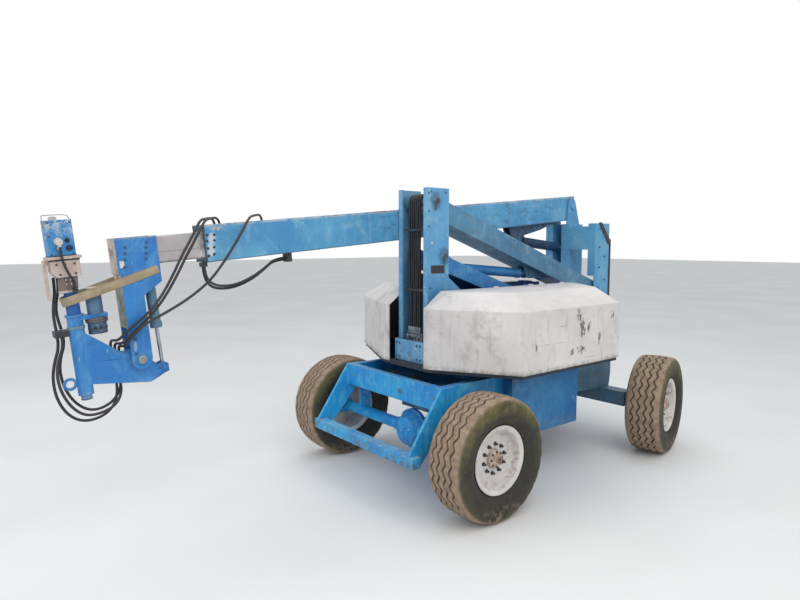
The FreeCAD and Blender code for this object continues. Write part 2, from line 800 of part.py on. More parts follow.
def build_lower_arm():
    rear = -riser_length
    wall = arm_wall
    parts = [box(rear + 160, -40, arm_far, arm_near, -lower_below, -lower_below + wall)]
    for y0 in (arm_far, arm_near - wall):
        outline = [(rear + 160, -lower_below), (rear, -arm_eye), (rear, arm_eye * 0.8),
                   (rear + 120, lower_above),
                   (-120, lower_above), (0, arm_eye * 0.8), (0, -arm_eye), (-60, -lower_below)]
        parts.append(side_plate(outline, y0, y0 + wall))
        for end in (0.0, rear):
            parts.append(across(end, 0, arm_eye, y0, y0 + wall))
    for end in (0.0, rear):
        parts.append(across(end, 0, riser_pin_dia / 2 + arm_boss_wall, arm_far, arm_near))
    along, above = riser_base
    middle = (arm_far + arm_near) / 2
    ram_half = riser_ram[2] * 0.75
    for sign in (1, -1):
        y = middle + sign * (ram_half + lug_gap)
        lug = side_plate([(along - 70, -lower_below), (along + 70, -lower_below),
                          (along + 26, above + 26),
                          (along - 26, above + 26)], min(y, y + sign * lug_plate),
                          max(y, y + sign * lug_plate))
        parts.append(lug)
    parts.append(across(along, above, ram_pin_dia / 2, middle - ram_half - lug_plate - lug_gap,
                        middle + ram_half + lug_plate + lug_gap))
    whole = join(*parts)
    for end in (0.0, rear):
        whole = whole.cut(across(end, 0, riser_pin_dia / 2 + pin_clearance, arm_far - 1, arm_near + 1))
    nodes["lower_arm"] = on_arm(whole, pin_lower)


def build_knuckle():
    gap = run_gap
    inner_far = arm_far - gap
    far_face = inner_far - plate
    up = arm_point(pin_upper, -riser_length, 0)
    low = arm_point(pin_lower, -riser_length, 0)
    parts = []
    # Near side: a plate by the arms and a box post above them
    parts.append(box(knuckle_rear, knuckle_front, knuckle_near - plate, knuckle_near, knuckle_bottom,
                     knuckle_top))
    post_low_z = arm_point(pin_upper, -riser_length + arm_mouth, upper_above)[1] + lug_plate
    parts.append(box(knuckle_rear, knuckle_front, post_inner, knuckle_near, post_low_z, knuckle_top))
    # Far side: a plate by the arms and a pair of posts that straddle the boom's lift ram
    parts.append(box(knuckle_rear, knuckle_front, far_face, inner_far, knuckle_bottom, knuckle_top))
    ram_half = boom_ram[0] / 2 + gap
    post_faces = ((boom_centre + ram_half, inner_far),
                  (2 * boom_centre - inner_far, boom_centre - ram_half))
    lowest = boom_base[1] - post_drop
    back = knuckle_rear + post_back
    for y0, y1 in post_faces:
        parts.append(box(back, knuckle_front, y0, y1, lowest, knuckle_top))
    parts.append(box(back, knuckle_front, post_faces[1][0], inner_far, lowest, lowest + 5 * plate))
    parts.append(box(back, back + plate, post_faces[1][0], inner_far, lowest, knuckle_top))
    # Crossbars between the two sides
    parts.append(box(knuckle_front - crossbar_depth, knuckle_front, inner_far, knuckle_near - plate,
                     crossbar_low, crossbar_high))
    tail = low[0] - arm_eye - gap
    parts.append(box(tail - plate, tail, inner_far, knuckle_near - plate, knuckle_bottom,
                     up[1] - arm_eye - run_gap))
    # Ears that hold the boom's pin
    x, z = boom_pin
    ear_gap = outer_width / 2 + gap
    for sign in (1, -1):
        y = boom_centre + sign * ear_gap
        far = y + sign * ear_plate
        ear = side_plate([(back, knuckle_top - plate), (knuckle_front, knuckle_top - plate),
                          (x + 46, ear_top - 30), (x + 20, ear_top), (x - 20, ear_top),
                          (x - 46, ear_top - 30)],
                         min(y, far), max(y, far))
        parts.append(ear)
        head = far + sign * pin_head
        parts.append(across(x, z, boom_pin_dia / 2 + 10, min(far, head), max(far, head)))
    parts.append(across(x, z, boom_pin_dia / 2, boom_centre - ear_gap - ear_plate,
                        boom_centre + ear_gap + ear_plate))
    parts.append(across(boom_base[0], boom_base[1], ram_pin_dia / 2 + 4, boom_centre - ram_half - 10,
                        boom_centre + ram_half + 10))
    for x, z in (up, low):
        parts.append(across(x, z, riser_pin_dia / 2, far_face - pin_head, knuckle_near + pin_head))
    nodes["riser_knuckle"] = join(*parts)
    # A rubber strip that runs down across the near post and along its rear edge
    face = knuckle_near + strip_thick
    band = side_plate([(knuckle_front - strip_width, knuckle_top + strip_thick),
                       (knuckle_front - 2 * strip_width, knuckle_top + strip_thick),
                       (knuckle_rear, knuckle_top - strip_drop),
                       (knuckle_rear, knuckle_top - strip_drop - strip_width),
                       (knuckle_rear + strip_width / 2, knuckle_top - strip_drop - strip_width)],
                      knuckle_near + pin_clearance, face)
    tail = box(knuckle_rear - strip_tail - pin_clearance, knuckle_rear - pin_clearance,
               knuckle_near - plate, face,
               knuckle_top - strip_drop - strip_length, knuckle_top - strip_drop)
    bridge = box(knuckle_rear - strip_tail, knuckle_rear + pin_clearance, knuckle_near + pin_clearance,
                 face,
                 knuckle_top - strip_drop - strip_width, knuckle_top - strip_drop)
    nodes["knuckle_strip"] = join(band, bridge, tail)
    frame["knuckle_upper"] = up
    frame["knuckle_lower"] = low


def build_boom():
    half = outer_width / 2
    y0 = boom_centre - half
    y1 = boom_centre + half
    outer = tube_box(outer_rear, outer_front, y0, y1, -outer_below, outer_above, outer_wall)
    parts = [outer]
    # Bosses on both walls take the boom's pin
    for y in (y0, y1 - ear_plate):
        parts.append(across(0, 0, boom_pin_dia / 2 + ear_plate, y, y + ear_plate))
    # Wear pads in the mouth, as (y0, y1, z0, z1)
    near_in = boom_centre + inner_width / 2 + slide_gap
    far_in = boom_centre - inner_width / 2 - slide_gap
    for a0, a1, b0, b1 in ((near_in, y1 - 1, -inner_below, inner_above),
                           (y0 + 1, far_in, -inner_below, inner_above),
                           (far_in, near_in, -outer_below + 1, -inner_below - slide_gap),
                           (far_in, near_in, inner_above + slide_gap, outer_above - 1)):
        parts.append(box(outer_front - pad_length, outer_front, a0, a1, b0, b1))
    # Lugs under the boom for the lift ram's rod
    along, above = boom_end
    ram_half = boom_ram[2] * 0.75
    for sign in (1, -1):
        y = boom_centre + sign * (ram_half + lug_gap)
        far = y + sign * lug_plate
        lug = side_plate([(along - 600, -outer_below + 1), (along + 90, -outer_below + 1),
                          (along + 40, above - 30),
                          (along - 36, above - 32), (along - 110, above + 38), (along - 340, above + 68)],
                         min(y, far), max(y, far))
        parts.append(lug)
        head = far + sign * pin_head
        parts.append(across(along, above, ram_pin_dia / 2 + 4, min(far, head), max(far, head)))
    whole = join(*parts).cut(across(0, 0, boom_pin_dia / 2 + pin_clearance, y0 - 1, y1 + 1))
    nodes["boom_outer"] = on_boom(whole)
    half_in = inner_width / 2
    inner = tube_box(inner_rear, inner_front, boom_centre - half_in, boom_centre + half_in, -inner_below,
                     inner_above, inner_wall)
    nodes["boom_inner"] = on_boom(inner)


def build_head():
    half = inner_width / 2
    s, n = tilt_pin
    front = inner_front
    outline = [(head_rear, head_above), (front, head_above), (front, n + 10), (s, n), (drop_rear, n),
               (drop_rear, -head_below - 70), (head_rear, -head_below)]
    parts = []
    for sign in (1, -1):
        y = boom_centre + sign * half
        far = y + sign * drop_plate
        parts.append(side_plate(outline, min(y, far), max(y, far)))
        parts.append(across(s, n, cheek_radius, min(y, far), max(y, far)))
        head = far + sign * drop_plate
        parts.append(across(s, n, tilt_pin_dia * 0.7, min(far, head), max(far, head)))
    # The front web stops above the bracket
    parts.append(box(front - drop_plate, front, boom_centre - half, boom_centre + half, n + web_above_pin,
                     -inner_below))
    parts.append(box(head_rear, tilt_pin[0], boom_centre - half, boom_centre + half, -inner_below - 30,
                     -inner_below))
    edge = half + drop_plate
    parts.append(box(front, front + head_cap, boom_centre - edge, boom_centre + edge, -inner_below - 40,
                     head_above))
    parts.append(across(s, n, tilt_pin_dia / 2, boom_centre - half, boom_centre + half))
    b_s, b_n = level_base
    parts.append(across(b_s, b_n, ram_pin_dia / 2 - 3, boom_centre - half, boom_centre + half))
    nodes["boom_head"] = on_boom(join(*parts))


def build_bracket():
    half = bracket_width / 2
    y0 = boom_centre - half
    y1 = boom_centre + half
    s, n = tilt_pin
    t_s, t_n = tail_pin
    outline = [(post_s, bracket_top), (post_s - 30, bracket_top), (s + 90, n + 52), (s, n + 52),
               (s - 60, n - 20),
               (t_s + 30, t_n + 20), (t_s + bracket_tail, t_n - bracket_tail), (s - 40, bracket_bottom),
               (post_s, bracket_front_low)]
    web = side_plate(outline, y0, y1)
    post = rod((post_s, boom_centre, post_low), (0, 0, 1), post_dia / 2, post_collar - post_low)
    foot = rod((post_s, boom_centre, post_low - 24), (0, 0, 1), post_dia / 2 - collar_wall, 24)
    collar = rod((post_s, boom_centre, post_collar - collar_wall), (0, 0, 1), post_dia / 2 + 8,
                 collar_wall)
    spigot = rod((post_s, boom_centre, post_collar), (0, 0, 1), spigot_dia / 2,
                 post_high - spigot_short - post_collar)
    eye_s = post_s + post_dia / 2 + eye_ring_dia / 2 - 4
    ring = across(eye_s, eye_ring_n, eye_ring_dia / 2, boom_centre - 8, boom_centre + 8)
    eye_hole = across(eye_s, eye_ring_n, eye_hole_dia / 2, boom_centre - 9, boom_centre + 9)
    frame["tie_eye"] = (eye_s, boom_centre, eye_ring_n)
    shelf = box(motor_s - motor_dia / 2 - 6, post_s, y0, y1, post_collar - shelf_low,
                post_collar - collar_wall)
    ears = []
    for sign in (1, -1):
        y = boom_centre + sign * (level_ram[2] * 0.75 + lug_gap)
        far = boom_centre + sign * half
        ears.append(side_plate([(t_s - 26, t_n - 26), (t_s - 26, t_n + 20), (t_s, t_n + tail_radius),
                                (t_s + 34, t_n + 24),
                                (t_s + 60, t_n - 60), (t_s, t_n - tail_radius)], min(y, far),
                                max(y, far)))
        ears.append(across(t_s, t_n, ram_pin_dia / 2 - 3, min(far, far + sign * 10),
                           max(far, far + sign * 10)))
    whole = join(web, post, foot, collar, spigot, ring, shelf, *ears)
    # The tail is forked round the levelling ram's rod, and the web is bored for the tilt pin
    slot_half = level_ram[2] * 0.75 + lug_gap
    whole = whole.cut(box(t_s - 60, t_s + 84, boom_centre - slot_half, boom_centre + slot_half, t_n - 110,
                          t_n + 120))
    whole = whole.cut([across(s, n, tilt_pin_dia / 2 + pin_clearance, y0 - 1, y1 + 1), eye_hole])
    nodes["platform_bracket"] = on_boom(whole)


def build_rotator():
    motor = rod((motor_s, boom_centre, motor_low), (0, 0, 1), motor_dia / 2,
                post_collar - shelf_low - motor_low)
    upper = rod((motor_s, boom_centre, post_collar - collar_wall), (0, 0, 1), motor_dia / 2 - motor_step,
                motor_high - post_collar)
    flange_depth = shelf_low - collar_wall
    flange = rod((motor_s, boom_centre, post_collar - shelf_low - flange_depth), (0, 0, 1),
                 motor_dia / 2 + motor_step, flange_depth)
    nodes["swing_motor"] = on_boom(join(motor, flange))
    nodes["swing_gearbox"] = on_boom(upper)


def build_platform_mount():
    """What turns on top of the post: a sleeve, a fork, a pale housing and the control box."""
    low = post_collar + pin_clearance
    bore = rod((post_s, boom_centre, low), (0, 0, 1), spigot_dia / 2 + pin_clearance,
               post_high - spigot_short + pin_clearance - low)
    sleeve = rod((post_s, boom_centre, low), (0, 0, 1), sleeve_radius, post_high - low).cut(bore)
    leg = boom_centre + sleeve_radius
    back = leg - plate
    rear_leg = side_plate([(rear_leg_top[0], housing_low), (rear_leg_top[1], housing_low),
                           (rear_leg_foot[1], rear_leg_low), (rear_leg_foot[0], rear_leg_low)], back,
                           leg + leg_proud)
    front_leg = side_plate([(front_leg_top[0], housing_low), (front_leg_top[1], housing_low),
                            (front_leg_foot[1], front_leg_low), (front_leg_foot[0], front_leg_low)],
                           back, leg + leg_proud)
    lower_leg = box(*fork_rear, back, leg, fork_leg_low, post_high)
    tie = box(rear_leg_foot[0], front_leg_foot[1] - plate, boom_centre - 30, leg, post_high,
              post_high + plate)
    riser_plate = box(rear_leg_foot[0] + 4, front_leg_top[0] + 4, back, leg, post_high, housing_low)
    plate_n = (post_high + plate + housing_low) / 2
    far = boom_centre - housing_half
    near = boom_centre + housing_half
    housing = side_plate([(housing_rear, housing_high), (housing_front, housing_high),
                          (housing_front, housing_low + housing_chamfer_n),
                          (housing_front - housing_chamfer_s, housing_low), (housing_rear, housing_low)],
                          far, near)
    box_low = housing_high + rim_plate
    flange = box(housing_rear - rim_step, housing_front + rim_step, far - rim_step, near + rim_step,
                 housing_high, box_low)
    stay = box(stay_front - 14, stay_front, boom_centre - 20, boom_centre + 20, stay_low, housing_high)
    arm = box(housing_front, stay_front, boom_centre - 20, boom_centre + 20, housing_high - 28,
              housing_high)
    holes = []
    for number in range(4):
        turn = math.radians(45 + 90 * number)
        reach = platform_bolt_circle / 2
        holes.append(across(plate_s + reach * math.cos(turn), plate_n + reach * math.sin(turn),
                            platform_bolt_hole / 2,
                            back, leg))
    nodes["platform_fork"] = on_boom(join(sleeve, rear_leg, front_leg, lower_leg, tie,
                                          riser_plate).cut(holes))
    frame["platform_bolts"] = (plate_s, leg, plate_n)
    nodes["control_mount"] = on_boom(join(housing, flange, stay, arm))
    nodes["control_box"] = on_boom(box(box_rear, box_front, far, near, box_low, box_high))


def ram_pair(base, end, sizes, centre, names, closed_gap, base_bore, rod_inside=None):
    """A barrel and its rod between two points of the X-Z plane, with an eye at each end."""
    barrel_dia, rod_dia, eye_r = sizes
    run_x = end[0] - base[0]
    run_z = end[1] - base[1]
    length = math.hypot(run_x, run_z)
    lean = math.degrees(math.atan2(run_z, run_x))
    half = eye_r * 0.75
    barrel_end = length - closed_gap
    eye = across(0, 0, eye_r, centre - half, centre + half)
    neck = eye_r + 24
    tail = rod((eye_r * 0.8, centre, 0), (1, 0, 0), half * 0.9, neck)
    tube = rod((neck, centre, 0), (1, 0, 0), barrel_dia / 2, barrel_end - neck)
    gland = rod((barrel_end - 34, centre, 0), (1, 0, 0), barrel_dia / 2 + 5, 34)
    bore = rod((neck + 6, centre, 0), (1, 0, 0), rod_dia / 2 + pin_clearance, length)
    pin_hole = across(0, 0, base_bore / 2 + pin_clearance, centre - half - 1, centre + half + 1)
    barrel = join(eye, tail, tube, gland).cut([bore, pin_hole])
    shaft_start = neck + 16 if rod_inside is None else barrel_end - rod_inside
    shaft = rod((shaft_start, centre, 0), (1, 0, 0), rod_dia / 2, length - eye_r * 0.7 - shaft_start)
    far_eye = across(length, 0, eye_r, centre - half, centre + half)
    stem = join(shaft, rod((length - eye_r * 1.6, centre, 0), (1, 0, 0), rod_dia / 2 + 2, eye_r * 1.2),
                far_eye)
    stem = stem.cut(across(length, 0, ram_pin_dia / 2, centre - half - 1, centre + half + 1))
    for name, shape in zip(names, (barrel, stem)):
        placed = spun(shape, (0, 0, 0), (0, 1, 0), -lean)
        placed.translate(V(base[0], 0, base[1]))
        nodes[name] = placed
    frame[names[0]] = (base, end)


def build_rams():
    middle = (arm_far + arm_near) / 2
    ram_pair(arm_point(pin_lower, *riser_base), arm_point(pin_upper, *riser_end), riser_ram, middle,
             ("riser_barrel", "riser_rod"), 95.0, ram_pin_dia)
    ram_pair(boom_base, boom_point(*boom_end), boom_ram, boom_centre, ("boom_barrel", "boom_rod"), 100.0,
             ram_pin_dia + 8)
    ram_pair(boom_point(*level_base), boom_point(*tail_pin), level_ram, boom_centre,
             ("level_barrel", "level_rod"), 246.0, ram_pin_dia - 6, 60.0)


def build_mast_hoses():
    """Hoses that rise inside the mast, pass over the upper pin and enter the upper arm's mouth."""
    x, z = pin_upper
    bend = riser_pin_dia / 2 + hose_bend_gap
    top = math.radians(90 + riser_slope)
    hoses = []
    for number in range(mast_hose_count):
        y = mast_hose_first + number * mast_hose_pitch
        foot = V(x + bend, y, valve_top)
        crown = V(x + bend, y, z)
        over = V(x + bend * math.cos(top / 2), y, z + bend * math.sin(top / 2))
        entry = V(x + bend * math.cos(top), y, z + bend * math.sin(top))
        end = entry + V(-math.sin(top), 0, math.cos(top)) * hose_entry
        path = Part.Wire([Part.makeLine(foot, crown), Part.Arc(crown, over, entry).toShape(),
                          Part.makeLine(entry, end)])
        ring = Part.Wire(Part.makeCircle(mast_hose_dia / 2, foot, V(0, 0, 1)))
        hoses.append(path.makePipeShell([ring], True, True))
    nodes["mast_hoses"] = Part.makeCompound(hoses)


def cord_tube(name, route, dia):
    """A round tube along straight runs joined by tangent arcs, given in the boom's own directions."""
    points = []
    for along, above, y in route:
        x, z = boom_point(along, above)
        points.append(V(x, y, z))
    edges = []
    radii = []
    start = points[0]
    for before, corner, after in zip(points, points[1:], points[2:]):
        run_in = corner - before
        run_out = after - corner
        turn = run_in.getAngle(run_out)
        short = min(run_in.Length, run_out.Length)
        radius = 0.45 * short / math.tan(turn / 2)
        reach = 0.45 * short
        entry = corner - run_in * (reach / run_in.Length)
        leave = corner + run_out * (reach / run_out.Length)
        inward = (entry + leave) * 0.5 - corner
        middle = corner + inward * ((radius / math.cos(turn / 2) - radius) / inward.Length)
        edges.append(Part.LineSegment(start, entry).toShape())
        edges.append(Part.Arc(entry, middle, leave).toShape())
        radii.append(round(radius))
        start = leave
    edges.append(Part.LineSegment(start, points[-1]).toShape())
    path = Part.Wire(edges)
    ring = Part.Wire(Part.makeCircle(dia / 2, points[0], points[1] - points[0]))
    tube = path.makePipeShell([ring], True, True)
    nodes[name] = tube
    expected = math.pi * dia * dia / 4 * path.Length
    print(name, "length", round(path.Length), "volume share", round(tube.Volume / expected, 4), "radii",
          radii)


def build_cords():
    cord_tube("hose_pair_a", pair_a_route, hose_dia)
    cord_tube("hose_pair_b", pair_b_route, hose_dia)
    cord_tube("hose_single", single_route, hose_dia)
    cord_tube("hose_loop_a", loop_a_route, hose_dia)
    cord_tube("hose_loop_b", loop_b_route, hose_dia)
    cord_tube("control_lead", lead_route, lead_dia)
    cord_tube("post_hose_a", post_a_route, hose_dia)
    cord_tube("post_hose_b", post_b_route, hose_dia)


def build_hose_fittings():
    """The hoses' clamps on the boom, their block on the post, and the lead's plug and gland."""
    side = boom_centre - outer_width / 2
    clamps = []
    # Clamps on the boom's far side, from which the hoses rise and cross over its top
    for first, last in ((pair_b_route[0], pair_a_route[0]), (single_route[0], single_route[0])):
        top = first[1] - pin_clearance
        clamps.append(box(first[0] - hose_dia, last[0] + hose_dia, side - hose_clamp_reach, side,
                          top - hose_clamp, top))
    # Clamps under the boom for the loop
    under = -outer_below
    far = loop_b_route[0][2] - hose_dia
    near = loop_a_route[0][2] + hose_dia
    start = loop_a_route[0]
    end = loop_a_route[-1]
    clamps.append(box(start[0] - hose_dia, start[0] + hose_dia, far, near, start[1] + pin_clearance,
                      under))
    clamps.append(box(end[0] - hose_clamp - pin_clearance, end[0] - pin_clearance, far - hose_dia / 2,
                      near,
                      loop_b_route[-1][1] - hose_dia, under))
    nodes["hose_clamps"] = Part.makeCompound([on_boom(clamp) for clamp in clamps])
    low = pair_a_route[-1][1] + pin_clearance
    block = box(post_s, pair_a_route[-1][0] + hose_dia, single_route[-1][2] - hose_dia,
                pair_b_route[-1][2] + hose_dia,
                low, low + hose_block_height)
    block = block.cut(rod((post_s, boom_centre, low), (0, 0, 1), post_dia / 2, hose_block_height))
    nodes["hose_block"] = on_boom(block)
    start = lead_route[0]
    end = lead_route[-1]
    face = boom_centre + housing_half
    plug_n = start[1] + pin_clearance + lead_plug_drop
    plug = join(across(start[0], plug_n, lead_plug_dia / 2, face, face + lead_plug_reach),
                rod((start[0], start[2], start[1] + pin_clearance), (0, 0, 1), lead_dia * 0.7,
                    lead_plug_drop))
    top = end[1] - pin_clearance
    gland = box(*fork_rear, boom_centre + sleeve_radius, end[2] + lead_dia, top - lead_gland, top)
    nodes["lead_fittings"] = Part.makeCompound([on_boom(plug), on_boom(gland)])


def build_strap():
    """A flat strap round the post and along the drop arm's sides, drawn in its own sloping plane."""
    slope = math.radians(strap_slope)
    corner = (strap_corner - post_s) / math.cos(slope)
    rear = (strap_rear - post_s) / math.cos(slope)
    lean = math.atan((strap_far - strap_wrap) / -corner)

    def belt(extra, height):
        near = strap_wrap + extra
        far = strap_far + extra
        side = [(-near * math.sin(lean), near * math.cos(lean)), (corner, far), (rear, far)]
        outline = side + [(u, -v) for u, v in reversed(side)]
        return join(flat_plate(outline, -height, height),
                    rod((0, 0, -height), (0, 0, 1), near, 2 * height))

    band = belt(strap_thick, strap_width / 2).cut(belt(0.0, strap_width))
    band = band.cut(box(2 * rear, rear, -2 * strap_far, 2 * strap_far, -strap_width, strap_width))
    band = spun(band, (0, 0, 0), (0, 1, 0), strap_slope)
    band.translate(V(post_s, boom_centre, strap_post_n))
    nodes["webbing_strap"] = on_boom(band)


def build_blocks():
    """The engine and the tanks, plain blocks under the hoods, and the valve block in the mast."""
    side = hood_side - engine_side_gap
    nodes["engine_block"] = box(hood_rear + engine_rear_gap, hood_front - engine_front_gap,
                                hood_near_inner + engine_inner_gap,
                                side, deck_top, hood_shoulder - engine_top_gap)
    nodes["tank_block"] = box(hood_rear + tank_rear_gap, hood_front - tank_front_gap, -side,
                              hood_far_inner - tank_inner_gap, deck_top, hood_shoulder - tank_top_gap)
    front = mast_front - plate - run_gap
    middle = (mast_far + mast_near) / 2
    nodes["valve_block"] = box(front - valve_depth, front, middle - valve_width / 2,
                               middle + valve_width / 2,
                               deck_top + plate, valve_top)


build_drive_wheels()
build_drive_axle()
build_chassis()
build_rear_frame()
build_steer_axle()
build_steer_side("near", 1)
build_steer_side("far", -1)
build_tie_rod()
build_turntable()
build_hood("hood_near", hood_near_inner, hood_near_corner, 1)
build_hood("hood_far", hood_far_inner, hood_far_corner, -1)
build_mast()
build_upper_arm()
build_lower_arm()
build_knuckle()
build_boom()
build_head()
build_bracket()
build_rotator()
build_platform_mount()
build_rams()
build_mast_hoses()
build_cords()
build_hose_fittings()
build_strap()
build_blocks()

# The whole machine moves along X so that the middle of its length is at X = 0
ends = [nodes[name].optimalBoundingBox(False) for name in ("tyre_steer_far", "tyre_steer_near",
                                                           "control_mount", "control_box")]
shift_x = -(min(end.XMin for end in ends) + max(end.XMax for end in ends)) / 2
for name, shape in nodes.items():
    shape.translate(V(shift_x, 0, 0))
    shape.exportStep("parts/" + name + ".step")
    print(name, len(shape.Solids), round(shape.Volume / 1e9, 5), shape.isValid())
for name, place in frame.items():
    print(name, place)
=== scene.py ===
# Looks of the articulating boom lift: materials, tyres, rims, hoses, the strap and small fittings.
# Pieces are drawn in millimetres in the directions of the part that carries them, and placed in metres.
import bpy
import bmesh
import math
import random
from mathutils import Matrix, Vector


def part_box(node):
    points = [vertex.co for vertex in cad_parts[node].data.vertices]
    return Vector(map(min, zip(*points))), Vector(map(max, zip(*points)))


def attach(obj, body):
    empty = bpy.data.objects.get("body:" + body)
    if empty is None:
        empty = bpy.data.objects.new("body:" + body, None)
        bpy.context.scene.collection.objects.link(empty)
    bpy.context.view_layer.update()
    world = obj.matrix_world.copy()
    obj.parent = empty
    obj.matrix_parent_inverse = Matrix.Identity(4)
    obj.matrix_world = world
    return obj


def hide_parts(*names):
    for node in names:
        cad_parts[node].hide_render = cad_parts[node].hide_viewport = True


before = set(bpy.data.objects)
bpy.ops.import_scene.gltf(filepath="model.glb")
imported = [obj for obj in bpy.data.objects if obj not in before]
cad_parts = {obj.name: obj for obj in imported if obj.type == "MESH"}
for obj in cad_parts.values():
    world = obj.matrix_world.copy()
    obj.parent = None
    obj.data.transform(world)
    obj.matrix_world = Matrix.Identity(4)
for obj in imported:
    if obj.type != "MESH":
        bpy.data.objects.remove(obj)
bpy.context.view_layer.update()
chance = random.Random(11)

# Places. The source moves the whole machine along X by this much at its end.
SHIFT = -947.6973
DROOP = math.radians(5.3)
SLOPE = math.radians(19.3)
PIN_S = -1129.8001
BOOM_Y = -195
POST_S = 4455
ROTATOR_S = 4345
AXLE_X = 2105 / 2
WHEEL_Y = 1737 / 2
WHEEL_Z = 420
STEER = 14
KINGPIN_IN = 170
HOSE_FIRST_Y = 2
HOSE_STEP = 24
VALVE_TOP = 1150

# Directions
NEAR = (0, 1, 0)
FAR = (0, -1, 0)
AHEAD = (1, 0, 0)
UP = (0, 0, 1)
DOWN = (0, 0, -1)


def axes(along, above, origin):
    """A matrix from (along, side, above) in millimetres to the row frame in metres."""
    m = Matrix.Identity(4)
    for row in range(3):
        m[row][:] = [part[row] / 1000 for part in (along, NEAR, above, origin)]
    return m


BOOM_X = (math.cos(DROOP), 0, -math.sin(DROOP))
BOOM_Z = (math.sin(DROOP), 0, math.cos(DROOP))
MACHINE = axes(AHEAD, UP, (SHIFT, 0, 0))
BOOM = axes(BOOM_X, BOOM_Z, (PIN_S + SHIFT, 0, 2190))
BOOM_START = BOOM.translation[:]


def add_object(name, data):
    obj = bpy.data.objects.new(name, data)
    bpy.context.scene.collection.objects.link(obj)
    return obj


# Camera, at the photograph's angle
def build_camera():
    data = bpy.data.cameras.new("camera")
    camera = add_object("camera", data)
    right = (-0.78179792, 0.62353052, -0.0013024)
    up = (-0.05906945, -0.07198307, 0.99565518)
    back = (0.62072764, 0.77847808, 0.09310782)
    at = (3.95605774 + SHIFT / 1000, 3.58196385, 1.82919562)
    m = Matrix.Identity(4)
    for row in range(3):
        m[row][:] = [part[row] for part in (right, up, back, at)]
    camera.matrix_world = m
    data.sensor_width = 36
    data.lens = 608.54 / 800 * 36
    bpy.context.scene.camera = camera


build_camera()


# Material nodes
def rgb(tone):
    """A colour written as six hex digits, as the shaders want it."""
    shares = [int(tone[i:i + 2], 16) / 255 for i in (0, 2, 4)]
    return tuple(s / 12.92 if s <= 0.04045 else ((s + 0.055) / 1.055) ** 2.4 for s in shares) + (1.0,)


